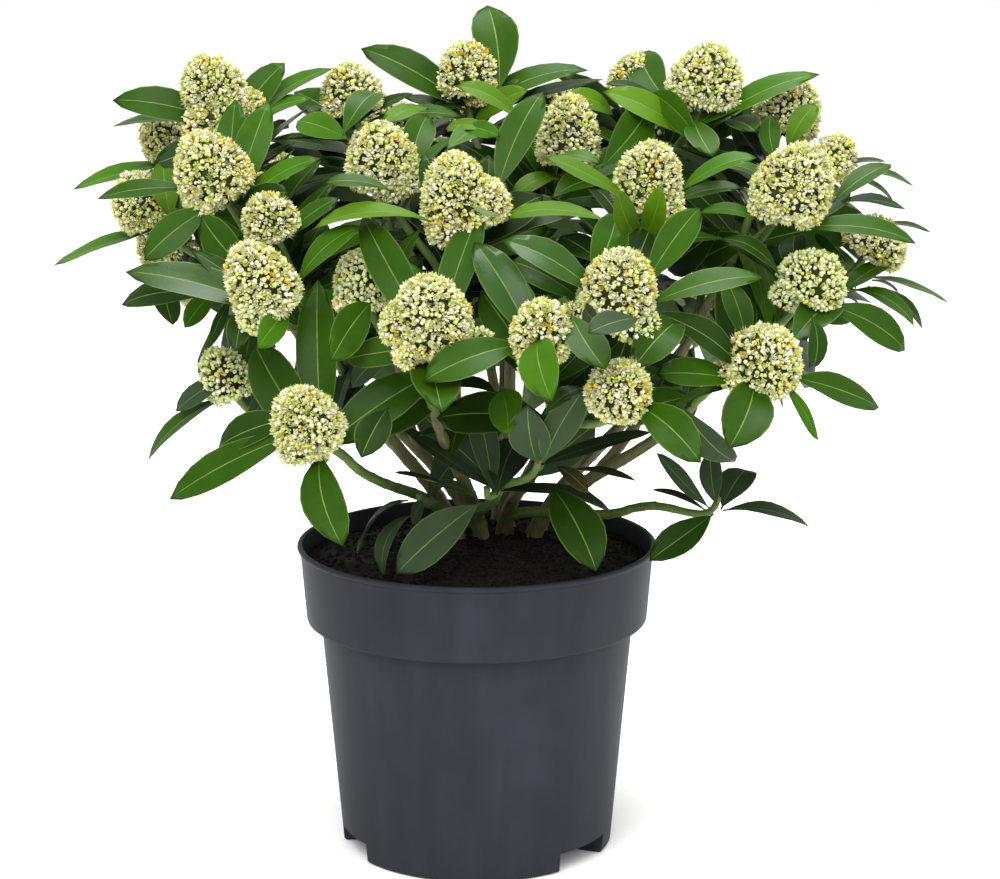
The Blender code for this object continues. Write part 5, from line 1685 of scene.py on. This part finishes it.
class SkimmiaBuildHeads(bpy.types.Operator):
    """Builds the flower heads: their stalks, and the florets by colour"""

    bl_idname = "skimmia.build_heads"
    bl_label = "Flower heads"

    def execute(self, context):
        settings = context.scene.skimmia_blossom
        masses, _, _ = state(context)
        shoots = [shoot for name in masses for shoot in masses[name] if shoot["width"] > 0.0]
        for (name, place), lobes in LOBES.items():
            whole = masses[name][place]
            for x, y, z, width, height, loose in lobes:
                lobe = {"head": whole["head"] + np.array((x, y, z)) * MM, "loose": loose}
                shoots.append({**whole, **lobe, "width": width * MM, "height": height * MM})
        # The stalk dome's dark colour is partly painted shade between the florets
        core = fleshy("green flower stalks", settings.core, 0.6, 0.5)
        heads = piece("head_stalks", *gather([stalk_and_shade_dome(shoot) for shoot in shoots]), [core])
        dress(heads, nodes_named("foliage_"))
        grown = [head_florets(shoot, number, settings) for number, shoot in enumerate(shoots)]
        every = {key: np.concatenate([florets[key] for florets in grown]) for key in grown[0]}
        thirds = np.digitize(every["spots"][:, 0], FLORET_THIRDS)
        forms = floret_forms()
        for colour, word in enumerate(BLOSSOM_NAMES):
            petals = fleshy(word + " petals", getattr(settings, word), 0.55, 0.10)
            for third, side in enumerate(("left", "middle", "right")):
                there = thirds == third
                parts = []
                for kind, form in forms.items():
                    own = there & (every["colours"] == colour) & (every["kinds"] == kind)
                    if own.any():
                        parts.append(copies(form, every["spots"][own], every["ways"][own],
                                            every["turns"][own], every["sizes"][own]))
                if parts:
                    florets = piece("florets_" + word + "_" + side, *gather(parts), [petals], smooth=False)
                    dress(florets, nodes_named("foliage_"))
        return {"FINISHED"}


class SkimmiaBuildStage(bpy.types.Operator):
    """Builds the pale floor, the soft lights and the camera"""

    bl_idname = "skimmia.build_stage"
    bl_label = "Stage"

    def execute(self, context):
        scene = context.scene
        corners = FLOOR_HALF * np.array([(-1, -1, 0), (1, -1, 0), (1, 1, 0), (-1, 1, 0)]) + FLOOR_LEVEL * UP
        paper = studio_white("studio paper", "#fafaf9", 0.9)
        floor = piece("studio_floor", corners, np.array([(0, 1, 2, 3)]), [paper])
        world = bpy.data.worlds.new("studio")
        world.use_nodes = True
        glow = world.node_tree.nodes["Background"]
        fill(world.node_tree, glow, {"Color": (1.0, 1.0, 1.0, 1.0), "Strength": WORLD_STRENGTH})
        scene.world = world
        for name, place, size, power in LIGHTS:
            lamp = bpy.data.lights.new(name, "AREA")
            lamp.shape = "SQUARE"
            lamp.size = size
            lamp.energy = power
            thing = bpy.data.objects.new(name, lamp)
            thing.location = place
            thing.rotation_euler = (Vector(LIGHT_AIM) - Vector(place)).to_track_quat("-Z", "Y").to_euler()
            scene.collection.objects.link(thing)
        lens = bpy.data.cameras.new("camera")
        lens.sensor_width = SENSOR_WIDTH
        lens.lens = LENS
        lens.clip_start = 0.05
        camera = bpy.data.objects.new("camera", lens)
        camera.location = EYE
        camera.rotation_euler = (math.radians(90 - LOOK_DOWN), 0.0, 0.0)
        scene.collection.objects.link(camera)
        scene.camera = camera
        scene.view_settings.view_transform = "Standard"
        return {"FINISHED"}


class SkimmiaPanel(bpy.types.Panel):
    """Lists the settings and the steps that build the plant"""

    bl_idname = "VIEW3D_PT_skimmia"
    bl_label = "Skimmia"
    bl_space_type = "VIEW_3D"
    bl_region_type = "UI"
    bl_category = "Skimmia"

    def draw(self, context):
        layout = self.layout
        for group in ("skimmia_pot", "skimmia_wood", "skimmia_leaf", "skimmia_blossom"):
            settings = getattr(context.scene, group)
            box = layout.box()
            for name in settings.__annotations__:
                box.prop(settings, name)
        for step in STEPS:
            layout.operator(step.bl_idname)


SETTINGS = {
    "skimmia_pot": SkimmiaPotSettings,
    "skimmia_wood": SkimmiaWoodSettings,
    "skimmia_leaf": SkimmiaLeafSettings,
    "skimmia_blossom": SkimmiaBlossomSettings,
}
STEPS = (SkimmiaBuildPot, SkimmiaBuildWood, SkimmiaBuildLeaves, SkimmiaBuildHeads, SkimmiaBuildStage)


def register():
    """Registers the settings, the operators and the panel."""
    for thing in (*SETTINGS.values(), *STEPS, SkimmiaPanel):
        bpy.utils.register_class(thing)
    for name, group in SETTINGS.items():
        setattr(bpy.types.Scene, name, bpy.props.PointerProperty(type=group))


def unregister():
    """Takes back what register added."""
    for name in SETTINGS:
        delattr(bpy.types.Scene, name)
    for thing in reversed((*SETTINGS.values(), *STEPS, SkimmiaPanel)):
        bpy.utils.unregister_class(thing)


def main():
    """Builds the pieces in order."""
    register()
    bpy.ops.skimmia.build_pot()
    bpy.ops.skimmia.build_wood()
    bpy.ops.skimmia.build_leaves()
    bpy.ops.skimmia.build_heads()
    bpy.ops.skimmia.build_stage()


if __name__ == "__main__":
    main()
